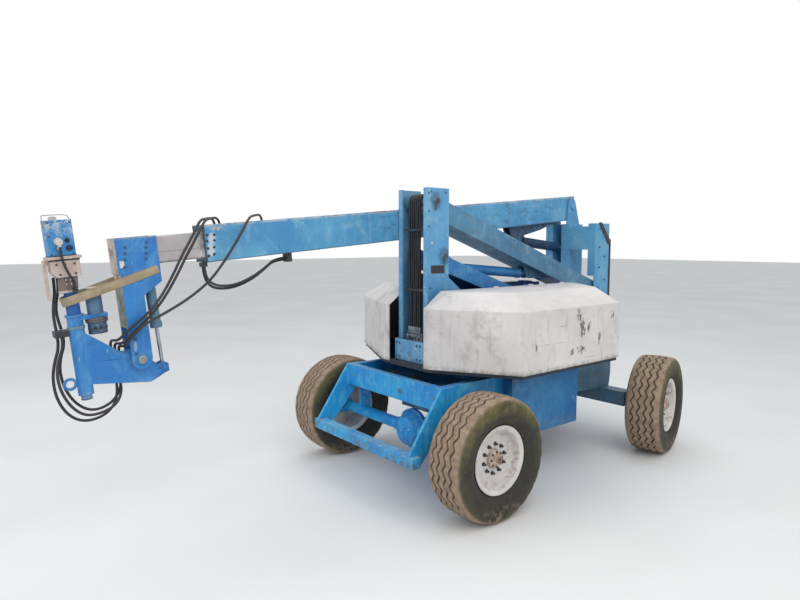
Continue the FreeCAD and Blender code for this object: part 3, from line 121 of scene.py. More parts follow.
class Look:
    """A material under construction. It holds the colour so far, and tones are laid over that."""

    def __init__(self, name):
        self.material = bpy.data.materials.new(name)
        self.material.use_nodes = True
        self.tree = self.material.node_tree
        self.tree.nodes.clear()
        self.shader = self.node("BsdfPrincipled")
        self.node("OutputMaterial", {0: self.shader.outputs[0]})
        given = self.node("TexCoord")
        self.coords = given.outputs["Object"]
        self.normal = given.outputs["Normal"]

    def put(self, value, socket):
        if hasattr(value, "is_linked"):
            self.tree.links.new(value, socket)
        else:
            socket.default_value = value

    def node(self, kind, values=None, **settings):
        """Adds a node, with values or links for its sockets."""
        n = self.tree.nodes.new("ShaderNode" + kind)
        for name, value in settings.items():
            setattr(n, name, value)
        for socket, value in (values or {}).items():
            self.put(value, n.inputs[socket])
        return n

    def noise(self, scale, detail, rough, where=None, twist=0.0):
        values = {"Scale": scale, "Detail": detail, "Roughness": rough, "Distortion": twist}
        return self.node("TexNoise", {**values, "Vector": where or self.coords}).outputs[0]

    def stretched(self, scale, turn=(0, 0, 0), shift=(0, 0, 0)):
        values = {"Scale": scale, "Rotation": turn, "Location": shift, "Vector": self.coords}
        return self.node("Mapping", values).outputs[0]

    def math(self, kind, a, b=0.0):
        return self.node("Math", {0: a, 1: b}, operation=kind).outputs[0]

    def mask(self, row):
        """A row is turned into a band, if it starts with a socket, or else into grain."""
        if not isinstance(row, tuple):
            return row
        return self.band(*row) if hasattr(row[0], "is_linked") else self.grain(*row)

    def both(self, *masks):
        """Masks multiplied. Each is a socket, a share, or a row for band or for grain."""
        product, *rest = (self.mask(row) for row in masks)
        for other in rest:
            product = self.math("MULTIPLY", product, other)
        return product

    def band(self, value, low, high, to_low=0.0, to_high=1.0):
        """A smooth step of value from low to high."""
        values = {"From Min": low, "From Max": high, "To Min": to_low, "To Max": to_high, "Value": value}
        return self.node("MapRange", values, interpolation_type="SMOOTHSTEP").outputs[0]

    def grain(self, scale, detail, rough, low, high, twist=0.0):
        """Noise that is cut to patches."""
        return self.band(self.noise(scale, detail, rough, twist=twist), low, high)

    def lines(self, stretch, detail, rough, low, high, **placing):
        """Stretched noise that is cut to streaks."""
        return self.band(self.noise(1.0, detail, rough, self.stretched(stretch, **placing)), low, high)

    def dot(self, a, b):
        return self.node("VectorMath", {0: a, 1: b}, operation="DOT_PRODUCT").outputs["Value"]

    def reach(self, direction):
        """The distance from the boom's start along a direction, in metres."""
        moved = self.node("VectorMath", {0: self.coords, 1: BOOM_START}, operation="SUBTRACT").outputs[0]
        return self.dot(moved, direction)

    def toward(self, direction):
        """How far the surface faces a direction, in the piece's own frame."""
        return self.dot(self.normal, direction)

    def away(self, kind, value, middle):
        """The distance to a middle that is added or subtracted."""
        return self.math("ABSOLUTE", self.math(kind, value, middle))

    def part(self, axis):
        """One of the coordinates, 0 for X, 1 for Y and 2 for Z."""
        return self.node("SeparateXYZ", {0: self.coords}).outputs[axis]

    def stored(self, name):
        return self.node("Attribute", attribute_name=name).outputs["Fac"]

    def spot(self, at, size, ragged=0.0, scale=30.0, soft=0.5):
        """1 inside an ellipsoid round a point and 0 outside it, with a ragged rim."""
        shift = tuple(-centre / part for centre, part in zip(at, size))
        place = self.stretched(tuple(1 / part for part in size), shift=shift)
        length = self.node("VectorMath", {0: place}, operation="LENGTH").outputs["Value"]
        if ragged:
            length = self.math("ADD", length, self.both(self.noise(scale, 7, 0.7), ragged))
            length = self.math("SUBTRACT", length, ragged * 0.5)
        return self.band(length, 1.0, 1.0 - soft)

    def scuff(self, at, size, scale, stretch=(1, 1, 1)):
        """A splatter that is dense in the middle of an ellipsoid and thins out toward its rim."""
        near = self.spot(at, size, soft=1.0)
        level = self.math("ADD", self.noise(scale, 8, 0.8, self.stretched(stretch)), self.both(near, 0.24))
        return self.both(self.band(level, 0.67, 0.71), self.band(near, 0.02, 0.12))

    def edge(self, radius):
        """1 near a convex or concave edge, 0 on flat ground, and the rounded normal."""
        bevel = self.node("Bevel", {"Radius": radius}, samples=4)
        flat = self.node("NewGeometry").outputs["True Normal"]
        return self.band(self.dot(bevel.outputs[0], flat), 0.995, 0.9), bevel.outputs[0]

    def bump(self, height, strength, distance, rounded=None):
        values = {"Strength": strength, "Distance": distance, "Height": height}
        if rounded is not None:
            values["Normal"] = rounded
        return self.node("Bump", values).outputs[0]

    def mix(self, share, a, b):
        """Two tones mixed, each a socket or six hex digits."""
        a, b = (rgb(tone) if isinstance(tone, str) else tone for tone in (a, b))
        return self.node("Mix", {0: self.mask(share), 6: a, 7: b}, data_type="RGBA").outputs[2]

    def start(self, mask, low, high):
        """The first colour: one tone where the mask is 0, and another where it is 1."""
        self.color = self.mix(mask, low, high)

    def over(self, tone, share, *masks):
        """Lays a tone over the colour so far, where all the masks meet. They are as for both."""
        mask = self.both(*masks) if share is None else self.both(*masks, share)
        self.color = self.mix(mask, self.color, tone)

    def finish(self, rough, normal=None, **plain):
        self.put(self.color, self.shader.inputs["Base Color"])
        self.put(self.mask(rough), self.shader.inputs["Roughness"])
        if normal is not None:
            self.put(normal, self.shader.inputs["Normal"])
        for name, value in plain.items():
            self.shader.inputs[name.replace("_", " ")].default_value = value
        return self.material


def dress(look, *names):
    """Gives CAD nodes a material."""
    for name in names:
        for material_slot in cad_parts[name].material_slots:
            material_slot.material = look
    return look


def worn_paint(name, main, deep, faded, wear="BAD2DE", nodes=(), dirt=0.35, chips=0.5, streaks=0.5,
               rust=0.25, scale=1.0, edge=0.5, edge_radius=0.006, extra=None):
    """Old machine paint: two tones, chalky fading, run marks, dirt, chips, scratches and worn edges."""
    look = Look(name)
    look.start((1.7 * scale, 5, 0.6, 0.35, 0.68), deep, main)
    patch = look.noise(7 * scale, 7, 0.65, twist=0.6)
    look.over(faded, 0.75, (patch, 0.48, 0.72))
    look.over(faded, streaks, look.lines((34 * scale, 34 * scale, 2.2 * scale), 5, 0.6, 0.52, 0.78))
    dark_run = look.lines((48 * scale, 48 * scale, 3.1 * scale), 4, 0.5, 0.56, 0.82, shift=(3, 1, 2))
    look.over(deep, streaks * 0.7, dark_run)
    soil = look.noise(11 * scale, 9, 0.72, twist=0.3)
    look.over("685846", dirt, (soil, 0.55, 0.78))
    look.over(wear, chips, look.lines((140, 9, 22), 3, 0.5, 0.69, 0.72, turn=(0.3, 0.7, 0.4)))
    cluster = look.grain(6 * scale, 4, 0.6, 0.5, 0.66)
    flecks = look.both((210, 3, 0.6, 0.64, 0.7), cluster)
    look.over(wear, chips, flecks)
    look.over("282E38", None, (46 * scale, 6, 0.7, 0.66, 0.71), 0.55 * chips + 0.15)
    if extra:
        extra(look)
    near_edge, rounded = look.edge(edge_radius)
    look.over(wear, edge, near_edge, (38, 5, 0.7, 0.42, 0.62))
    rusted = look.math("MAXIMUM", look.both(near_edge, 0.9), cluster)
    look.over("703E26", rust, rusted, (55, 6, 0.7, 0.64, 0.74))
    height = look.math("SUBTRACT", look.both(patch, 0.35), look.both(flecks, 0.5))
    rough = look.band(soil, 0.35, 0.75, 0.42, 0.72)
    return dress(look.finish(rough, look.bump(height, 0.35, 0.0015, rounded)), *nodes)


def boom_at(s, n, y=-100):
    """A point of the boom in metres."""
    return (BOOM @ Vector((s, y, n)))[:]


def boom_marks(look):
    """White smears and rust round the mouth's bolts, a pale rusty top edge, stains, a dark underside."""
    s, n = look.reach(BOOM_X), look.reach(BOOM_Z)
    for at, size in ((boom_at(3652, 6), (0.03, 0.2, 0.045)), (boom_at(3664, -62), (0.035, 0.2, 0.05))):
        look.over("D0D8DE", 0.75, look.spot(at, size, 1.6, 60))
    look.over("C4BAA4", None, look.scuff(boom_at(3606, 64), (0.1, 0.2, 0.036), 46))
    look.over("BEC4C6", 0.75, (n, 0.072, 0.088), (16, 6, 0.7, 0.34, 0.56))
    look.over("886650", None, (n, 0.08, 0.091), (9, 6, 0.7, 0.52, 0.62))
    look.over("344E68", 0.5, (s, 2.75, 2.2), look.lines((9, 9, 22), 7, 0.7, 0.5, 0.66))
    look.over("2C3848", 0.6, (n, -0.128, -0.134), (20, 5, 0.7, 0.3, 0.5))
    look.over("303A46", 0.8, (s, 3.688, 3.694))
    look.over("2A303E", 0.8, (n, -0.139, -0.15), (12, 7, 0.7, 0.3, 0.6))


def head_marks(look):
    """The front plate is cream at the top and goes grey-green and rusty lower down."""
    n = look.reach(BOOM_Z)
    grain = look.noise(16, 8, 0.7)
    high = look.mix((grain, 0.45, 0.66), "CABEB2", "967662")
    low = look.mix((grain, 0.4, 0.62), "808A84", "54584E")
    tone = look.mix((n, -0.16, -0.34), high, low)
    look.over(tone, None, (look.toward(BOOM_X), 0.75, 0.95))
    look.over("A8A096", 0.7, (n, 0.043, 0.05), (40, 6, 0.7, 0.35, 0.55))
    slot_mark = look.spot(boom_at(4178, -574, -113), (0.009, 0.05, 0.036), 0.3, 60, 0.3)
    look.over("96B2C4", 0.85, slot_mark)
    seam = look.spot(boom_at(4142, -196, -113), (0.06, 0.05, 0.006), 0.6, 80, 0.4)
    look.over("1E3C60", 0.6, seam)


def bracket_marks(look):
    """Deep blue scuffs under the web's slope, a rubbed light band on the post and a weld seam."""
    s, n = look.reach(BOOM_X), look.reach(BOOM_Z)
    look.over("224268", 0.6, (s, 4.12, 4.04), (18, 7, 0.7, 0.4, 0.62))
    look.over("A8B2B6", 0.6, (n, -0.78, -0.81), (30, 6, 0.7, 0.42, 0.6))
    look.over("1A4A7C", 0.7, look.spot(boom_at(4300, -634, -160), (0.07, 0.05, 0.004), 0.5, 60, 0.4))


def inner_marks(look):
    """A weld seam at mid height, streaks, and dark grease near the outer beam's mouth."""
    s, n = look.reach(BOOM_X), look.reach(BOOM_Z)
    look.over("787886", 0.45, (look.away("ADD", n, 0.045), 0.006, 0.002))
    look.over("545258", 0.7, (s, 3.78, 3.7), (26, 7, 0.7, 0.42, 0.6))
    look.over("D8D8D6", 0.6, (n, 0.036, 0.047), (14, 6, 0.7, 0.4, 0.6))
    look.over("423E3E", 0.8, (n, -0.094, -0.107), (22, 6, 0.7, 0.35, 0.6))


def fork_marks(look):
    """Pale above the post, blue on the square tube below it, brown stains all over, and painted shade with
    dirt, dark brown, on the middle plate between the legs.
    """
    n = look.reach(BOOM_Z)
    pale = look.mix((20, 7, 0.7, 0.5, 0.68), "C8B8B2", "846C60")
    look.over(pale, None, (n, -0.222, -0.212))
    # Painted shade with dirt: the middle plate between the legs is darkened to brown so it reads as the shaded
    # gap between them.
    side = look.band(look.away("ADD", look.part(1), 0.195), 0.058, 0.05)
    look.over("54463E", 0.8, side, look.both((n, -0.21, -0.2), (n, -0.12, -0.13)))


def box_marks(look):
    """The control box's paint is rubbed to white near its top and edges, and is dirtier low down."""
    n = look.reach(BOOM_Z)
    grain = look.noise(46, 8, 0.72, twist=0.5)
    look.over("C6CECE", 0.85, (n, 0.06, 0.17), (grain, 0.46, 0.58))
    look.over("1E4E80", 0.6, (n, 0.05, -0.02), (grain, 0.5, 0.66))


def mast_marks(look):
    """Rubbed light flanges at the front, dirt near the pins, a scuffed foot and painted shade, dark navy, on
    the inside between the plates.
    """
    z = look.part(2)
    for at in ((0.008, 0.242, 2.136), (-0.075, 0.242, 1.734)):
        look.over("30485C", 0.55, look.spot(at, (0.07, 0.05, 0.09), 1.2, 24))
    look.over("3C6080", 0.6, (z, 1.12, 1.0), (14, 8, 0.7, 0.46, 0.62))
    lip = look.band(look.toward(AHEAD), 0.8, 0.95)
    look.over("96BED0", 0.45, lip, (9, 6, 0.7, 0.42, 0.62))
    # Painted shade: the inner faces between the near and far plates, behind the front flange and above the
    # foot, are darkened to navy.
    painted_shade_inside = look.band(look.away("SUBTRACT", look.part(1), 0.076), 0.156, 0.15)
    look.over("102A58", 0.75, painted_shade_inside, (z, 1.1, 1.2), (look.part(0), 0.085, 0.075))


def frame_marks(look):
    """Fine light streaks on the upright faces, a worn bumper top and earth on what is low."""
    x, z = look.part(0), look.part(2)
    upright = look.band(look.math("ABSOLUTE", look.toward(UP)), 0.5, 0.2)
    look.over("78C8E2", 0.3, look.lines((40, 70, 5), 4, 0.6, 0.54, 0.66), upright)
    top = look.both((look.toward(UP), 0.8, 0.95), (13, 8, 0.7, 0.38, 0.56))
    look.over("8CB2C2", 0.75, (x, 0.4, 0.44), top)
    look.over("686C68", 0.4, top, (x, 0.4, 0.3))
    look.over("685442", 0.75, (z, 0.46, 0.36), (15, 8, 0.72, 0.42, 0.6))


def axle_marks(look):
    """A light rubbed dome, greasy joints and earth underneath."""
    z = look.part(2)
    grain = look.noise(30, 8, 0.72, twist=0.4)
    look.over("76B8D4", 0.6, (z, 0.44, 0.56), (grain, 0.42, 0.6))
    look.over("464E54", 0.8, (z, 0.4, 0.28), (grain, 0.4, 0.6))


def chassis_marks(look):
    """Faint light uprights, small dark scuffs, a dusty lower edge and shade under the deck."""
    z = look.part(2)
    look.over("549AC0", 0.35, look.lines((20, 30, 2), 5, 0.65, 0.54, 0.7))
    look.over("182C3E", 0.6, (22, 8, 0.75, 0.6, 0.67), (3, 3, 0.5, 0.46, 0.6))
    look.over("606C70", 0.4, (z, 0.5, 0.38), (12, 7, 0.7, 0.35, 0.6))
    look.over("143E68", 0.5, (z, 0.76, 0.84))


def arm_marks(look):
    """Grey grime along the arm and small rubbed spots."""
    look.over("58707C", 0.5, look.lines((5, 5, 16), 7, 0.7, 0.46, 0.66, turn=(0, SLOPE, 0)))
    look.over("A4B8C0", 0.5, look.lines((30, 30, 30), 5, 0.7, 0.62, 0.68, turn=(0, SLOPE, 0)))


def steer_marks(look):
    """Grey patches laid over the paint."""
    look.over("565C62", 0.7, (13, 8, 0.72, 0.34, 0.58), 0.75)


def rotator_marks(look):
    """The swing motor and its gear go to rust and bare metal round their foot."""
    grain = look.noise(34, 8, 0.72, twist=0.6)
    ring = look.spot(boom_at(ROTATOR_S, -392, BOOM_Y), (0.12, 0.12, 0.03), 0.6, 40, 0.4)
    look.over("765C4A", 0.85, ring, (grain, 0.34, 0.56))
    look.over("543C2E", 0.8, (look.reach(BOOM_Z), -0.42, -0.47), (grain, 0.42, 0.58))


# Paints, each with its main, deep and faded tones, the tone of its wear, and the CAD nodes that have it
worn_paint("paint_blue", "5EA6CC", "408ABC", "86B8D0", nodes=["boom_outer"], extra=boom_marks)
worn_paint("paint_head_blue", "3082C8", "1E6CB6", "5C9ECE", nodes=["boom_head"], chips=0.4,
           extra=head_marks)
worn_paint("paint_bracket_blue", "3284C8", "1C6CB8", "5EA0D0", nodes=["platform_bracket"],
           extra=bracket_marks)
worn_paint("paint_fork_pale", "2868B0", "1A549C", "548CBE", "DED6CE", ["platform_fork"],
           rust=0.5, extra=fork_marks)
worn_paint("paint_control_box", "348CC8", "2470B0", "78AEC8", "D6DAD6",
           ["control_box"], chips=0.9, scale=2.4, edge=0.9, edge_radius=0.004, extra=box_marks)
worn_paint("paint_mast_blue", "64A4CC", "4C8EBE", "8CBAD0", nodes=["riser_mast"], edge=0.7,
           extra=mast_marks)
worn_paint("paint_knuckle_blue", "5CA2C8", "428ABE", "82B4CC", nodes=["riser_knuckle"])
worn_paint("paint_frame_blue", "18A8E2", "0884D0", "60BEDC", nodes=["front_frame"], dirt=0.3,
           edge=0.8, edge_radius=0.009, extra=frame_marks)
paint_axle = worn_paint("paint_axle_blue", "14AAE8", "0A82D2", "5AB8DC",
                        nodes=["drive_axle"], scale=2.0, extra=axle_marks)
worn_paint("paint_chassis_blue", "247EB6", "1264A2", "4894BC", nodes=["chassis_box"],
           dirt=0.25, extra=chassis_marks)
worn_paint("paint_steer_blue", "588AA8", "3E6E90", "789AAC", "A0B0B6",
           ["steer_axle", "steer_knuckle_near", "steer_knuckle_far", "tie_rod", "rear_frame"], dirt=0.5,
           extra=steer_marks)
worn_paint("paint_upper_arm", "528AAA", "3A7296", "7CA4B6", "B0C4CC", ["upper_arm"],
           dirt=0.45, extra=arm_marks)
worn_paint("paint_lower_arm", "3E90C4", "2670B0", "64A6C8", nodes=["riser_barrel", "lower_arm"])
worn_paint("paint_deep_blue", "1A5CA8", "10448C", "3A7AB4", nodes=["bay_walls"], dirt=0.45)
worn_paint("paint_ram_blue", "184268", "0E2C4C", "2E5C80", "608096", ["boom_barrel"],
           dirt=0.45)
# Painted shade: the deck and slew ring are near-black blue so the strip under the hoods reads as shadow; dirt
# is laid over it.
worn_paint("paint_deck_shade_and_dirt", "122438", "0A1828", "22303E", "46545C",
           ["turntable_deck", "slew_ring"], dirt=0.4, chips=0.2)
paint_level = worn_paint("paint_level_teal", "6890A2", "4C768E", "8AA4AC",
                         "B0BEC0", ["level_barrel"], dirt=0.45, scale=3.0, edge_radius=0.003)
worn_paint("paint_pale", "C2BBBC", "ACA4A4", "D0CBCA", "E2E0D8", ["boom_inner"],
           dirt=0.45, rust=0.4, streaks=0.4, extra=inner_marks)
worn_paint("paint_cream", "CEBCB6", "B09A8E", "DCD0C8", "ECE4D6",
           ["control_mount"], dirt=0.7, rust=0.8, scale=2.6, edge_radius=0.004)
for name, main, deep, node in (("paint_swing_motor", "2C608C", "1A3C60", "swing_motor"),
                               ("paint_swing_gear", "547A9A", "3A5A7A", "swing_gearbox")):
    worn_paint(name, main, deep, "708A9C", "9CACB4", [node], dirt=0.55, scale=3.0, rust=0.8,
               edge_radius=0.004, extra=rotator_marks)

# The near hood's black scuffs and long scratches, as centre and half size in metres
SCUFFS = ((-0.79, 0.93, 1.29, 0.06, 0.3, 0.11), (-0.842, 0.93, 1.2, 0.09, 0.3, 0.15),
          (-0.915, 0.93, 1.2, 0.04, 0.3, 0.1), (-1.055, 0.92, 1.105, 0.04, 0.4, 0.11),
          (-0.83, 0.93, 1.047, 0.12, 0.3, 0.07), (-0.72, 0.93, 1.03, 0.05, 0.3, 0.07),
          (-1.23, 0.8, 1.28, 0.07, 0.4, 0.14), (-1.23, 0.8, 1.09, 0.05, 0.4, 0.08),
          (-0.305, 0.93, 1.1, 0.03, 0.3, 0.09))
SCRATCHES = ((-0.49, 0.93, 1.118, 0.19, 0.3, 0.0022), (-0.298, 0.93, 1.18, 0.002, 0.3, 0.1),
             (-0.6, 0.93, 1.235, 0.07, 0.3, 0.0025), (-0.67, 0.93, 1.16, 0.0022, 0.3, 0.07),
             (-0.93, 0.93, 0.975, 0.12, 0.3, 0.002))


def hood_look():
    """Off-white moulded shell with grey stains, black scuffs toward the rear end and a few long scratches."""
    look = Look("hood_shell_worn")
    x, z = look.part(0), look.part(2)
    look.start((2.2, 6, 0.6, 0.35, 0.7), "D0CCCA", "E1DDDA")
    stain = look.noise(9, 9, 0.72, twist=0.2)
    look.over("A8A49E", 0.4, (stain, 0.52, 0.74))
    runs = look.lines((22, 22, 3), 6, 0.65, 0.52, 0.7)
    look.over("9A9894", None, runs, (z, 1.4, 1.28, 0, 0.4))
    look.over("96928C", None, (5, 9, 0.75, 0.5, 0.66, 0.2), (x, -0.35, 0.0, 0.1, 0.5))
    where = look.both((x, -0.5, -1.2), (z, 1.37, 1.33))
    look.over("606062", 0.5, look.lines((9, 9, 46), 6, 0.7, 0.61, 0.65, turn=(0.1, 0.12, 0)), where)
    patch = look.noise(17, 8, 0.78, look.stretched((1, 1, 0.7)))
    heavy = look.both((patch, 0.615, 0.65), where)
    look.over("343438", 0.6, heavy)
    for row in SCUFFS:
        look.over("222226", 0.85, look.scuff(row[:3], row[3:], 34, (1.6, 1.6, 1)))
    broken = look.grain(24, 5, 0.75, 0.42, 0.54)
    for row in SCRATCHES:
        look.over("545252", 0.7, look.spot(row[:3], row[3:], 0.6, 20, 0.4), broken)
    look.over("686662", 0.6, (90, 4, 0.65, 0.66, 0.71))
    near_edge, rounded = look.edge(0.014)
    look.over("B0ACA4", 0.4, near_edge, (stain, 0.4, 0.6))
    look.over("80786A", 0.6, (z, 0.965, 0.93), (20, 6, 0.7, 0.35, 0.6))
    height = look.math("SUBTRACT", look.noise(26, 5, 0.6), look.both(heavy, 0.3))
    return look.finish((stain, 0.35, 0.75, 0.42, 0.7), look.bump(height, 0.22, 0.002, rounded))


def plain_look(name, main, deep, spots, rough, scale=1.0, bump=0.3, metal=0.0, spot_share=0.6, edge=0.0,
               edge_color=None):
    """A generic worn surface in three tones, for rubber, cast metal, plastic and fittings."""
    look = Look(name)
    broad = look.noise(9 * scale, 6, 0.62)
    look.start((broad, 0.35, 0.68), deep, main)
    grain = look.noise(70 * scale, 6, 0.7)
    look.over(spots, spot_share, (grain, 0.52, 0.72))
    near_edge, rounded = look.edge(0.003)
    if edge:
        look.over(edge_color, edge, near_edge)
    bumped = look.bump(grain, bump, 0.001, rounded)
    return look.finish((broad, 0.3, 0.75, *rough), bumped, Metallic=metal)


hood_paint = hood_look()
rubber = plain_look("hose_rubber", "383436", "262428", "60544E", (0.45, 0.7))
rubber_fine = plain_look("hose_mast", "18181E", "0E0E12", "3C383C", (0.4, 0.65), scale=2)
steel = plain_look("steel_dull", "A0A2A4", "707276", "504236", (0.3, 0.55), metal=0.5,
                   edge=0.4, edge_color="CECECC")
chrome = plain_look("rod_chromed", "C4C8CE", "9EA0A6", "786452", (0.16, 0.4), metal=0.9,
                    spot_share=0.4)
bolt_dark = plain_look("bolt_dark", "3A383A", "222226", "684A38", (0.5, 0.8), scale=3, edge=0.4,
                       edge_color="787878")
bolt_blue = plain_look("bolt_blue", "285C94", "163864", "22242C", (0.5, 0.8), scale=3, edge=0.5,
                       edge_color="78A4BE")
pin_look = plain_look("pin_grey_blue", "465A6E", "2C3A4C", "685448", (0.45, 0.75), scale=2,
                      spot_share=0.35, edge=0.5, edge_color="8296A4")
bolt_rusty = plain_look("bolt_rusty", "7A5844", "523C30", "A88A70", (0.6, 0.85), scale=3)
rusty = plain_look("flange_rusty", "785C48", "463C38", "3A607C", (0.6, 0.85), scale=2)
cast_dark = plain_look("cast_dark", "3A3E46", "262A32", "545C68", (0.5, 0.75))
black_plastic = plain_look("plastic_black", "242529", "18191C", "5A5854", (0.35, 0.6))
navy_plastic = plain_look("plastic_navy", "162C60", "0E1C42", "3C547C", (0.35, 0.6))
white_plastic = plain_look("plastic_white", "DEDAD4", "C4BEB8", "8A7C70", (0.35, 0.6),
                           scale=2)
data_look = plain_look("plate_dark_blank", "322E30", "222024", "545050", (0.5, 0.75), scale=2,
                       spot_share=0.4, edge=0.8, edge_color="969CA0")
strip_look = plain_look("strip_mauve_brown", "523C42", "362A30", "74544A", (0.55, 0.8))
debris_look = plain_look("debris_brown", "706254", "4C4238", "A0927E", (0.8, 0.95), bump=0.8)
valve_look = plain_look("valve_grey", "96A2AA", "5C6C7A", "383432", (0.4, 0.7), scale=1.6,
                        metal=0.25, edge=0.5, edge_color="D6DCDE")
hub_paint = plain_look("hub_rusty_pale", "CCBEB2", "A88E7A", "6E4E3A", (0.5, 0.8), scale=2.4,
                       spot_share=0.7)
dress(chrome, "riser_rod", "boom_rod", "level_rod")
dress(cast_dark, "engine_block", "tank_block", "hose_clamps", "hose_block")
dress(valve_look, "valve_block")
dress(strip_look, "knuckle_strip")


def fitting_look():
    """The lead's upper plug is pale and its lower gland is dark."""
    look = Look("fitting_two_tone")
    grain = look.grain(60, 6, 0.7, 0.4, 0.65)
    pale = look.mix(grain, "D8D4CE", "B0A69A")
    dark = look.mix(grain, "343840", "20242C")
    look.start((look.reach(BOOM_Z), -0.055, -0.045), dark, pale)
    return look.finish((grain, 0.0, 1.0, 0.4, 0.65), look.bump(grain, 0.3, 0.0006))


def webbing_look():
    """Beige webbing, ribbed along its length, with darker edges, soil and a few dark stains."""
    look = Look("webbing_beige")
    across = look.stored("across")
    rib = look.math("SINE", look.both(across, 34.0))
    tooth = look.math("SINE", look.both(look.stored("along"), 1500.0))
    weave = look.math("ADD", look.both(rib, 0.6), look.both(tooth, 0.4))
    look.start((9, 7, 0.65, 0.35, 0.68), "9E9074", "BCAC8E")
    look.over("786A54", 0.35, (weave, -0.8, 0.8))
    look.over("6E604C", 0.5, (look.math("ABSOLUTE", across), 0.86, 0.96))
    look.over("CEC2A6", 0.25, (look.away("SUBTRACT", across, 0.25), 0.12, 0.02))
    look.over("605442", 0.5, (22, 8, 0.7, 0.55, 0.7))
    return look.finish(0.92, look.bump(weave, 0.4, 0.0008), Sheen_Weight=0.2)


def tyre_look():
    """Dark rubber with tan dried mud on the tread and green growth on the walls."""
    look = Look("tyre_worn")
    z = look.part(2)
    growth = look.stored("growth")
    base = look.noise(14, 7, 0.65)
    look.start((base, 0.35, 0.7), "242322", "383632")
    high = look.both((z, 0.2, 0.7, 0.35, 1.0), growth)
    look.over("585632", None, (6, 9, 0.72, 0.36, 0.56, 0.4), high)
    bright = look.grain(11, 8, 0.7, 0.46, 0.64)
    look.over("726C40", None, bright, (z, 0.42, 0.78, 0.0, 0.9), growth)
    fine = look.noise(60, 6, 0.7)
    look.over("706A52", 0.3, (fine, 0.55, 0.7))
    bare = look.color
    mud = look.noise(22, 8, 0.7, twist=0.3)
    look.start((mud, 0.35, 0.68), "847060", "AA947E")
    look.over("967860", 0.4, (5, 4, 0.6, 0.5, 0.7))
    look.over("60564E", 0.5, (9, 8, 0.75, 0.56, 0.68))
    low = look.both((mud, 0.45, 0.6), (z, 0.16, 0.03, 0.0, 0.6))
    look.start(look.math("MAXIMUM", look.stored("tread"), low), bare, look.color)
    height = look.math("ADD", look.both(fine, 0.6), look.both(mud, 0.6))
    return look.finish((base, 0.3, 0.7, 0.7, 0.92), look.bump(height, 0.5, 0.002))


def rim_look():
    """White rim paint, yellowed, with dirt and painted shade in its well, and rust toward the hub."""
    look = Look("rim_paint_worn")
    look.start((6, 6, 0.6, 0.35, 0.7), "CECAC8", "E0DCDA")
    stain = look.noise(16, 8, 0.72, twist=0.6)
    look.over("BEAC8C", 0.6, (stain, 0.54, 0.66))
    # Dirt and painted shade: the well's ring is darkened to a brown-grey.
    look.over("7E705A", 0.6, (13, 8, 0.75, 0.5, 0.64, 0.3), look.stored("well"))
    look.over("5C4A3A", 0.75, (34, 7, 0.75, 0.65, 0.7))
    near_edge, rounded = look.edge(0.006)
    look.over("86745C", 0.6, near_edge, (30, 5, 0.7, 0.5, 0.6))
    bumped = look.bump(look.noise(150, 4, 0.6), 0.25, 0.001, rounded)
    return look.finish((stain, 0.35, 0.7, 0.4, 0.65), bumped)


webbing = webbing_look()
tyre_paint = tyre_look()
rim_paint = rim_look()
dress(fitting_look(), "lead_fittings")

def circle(count, r, x=0, y=0, start=0.0):
    """Points round a circle, as (x, y)."""
    turns = [2 * math.pi * (k + start) / count for k in range(count)]
    return [(x + r * math.cos(turn), y + r * math.sin(turn)) for turn in turns]


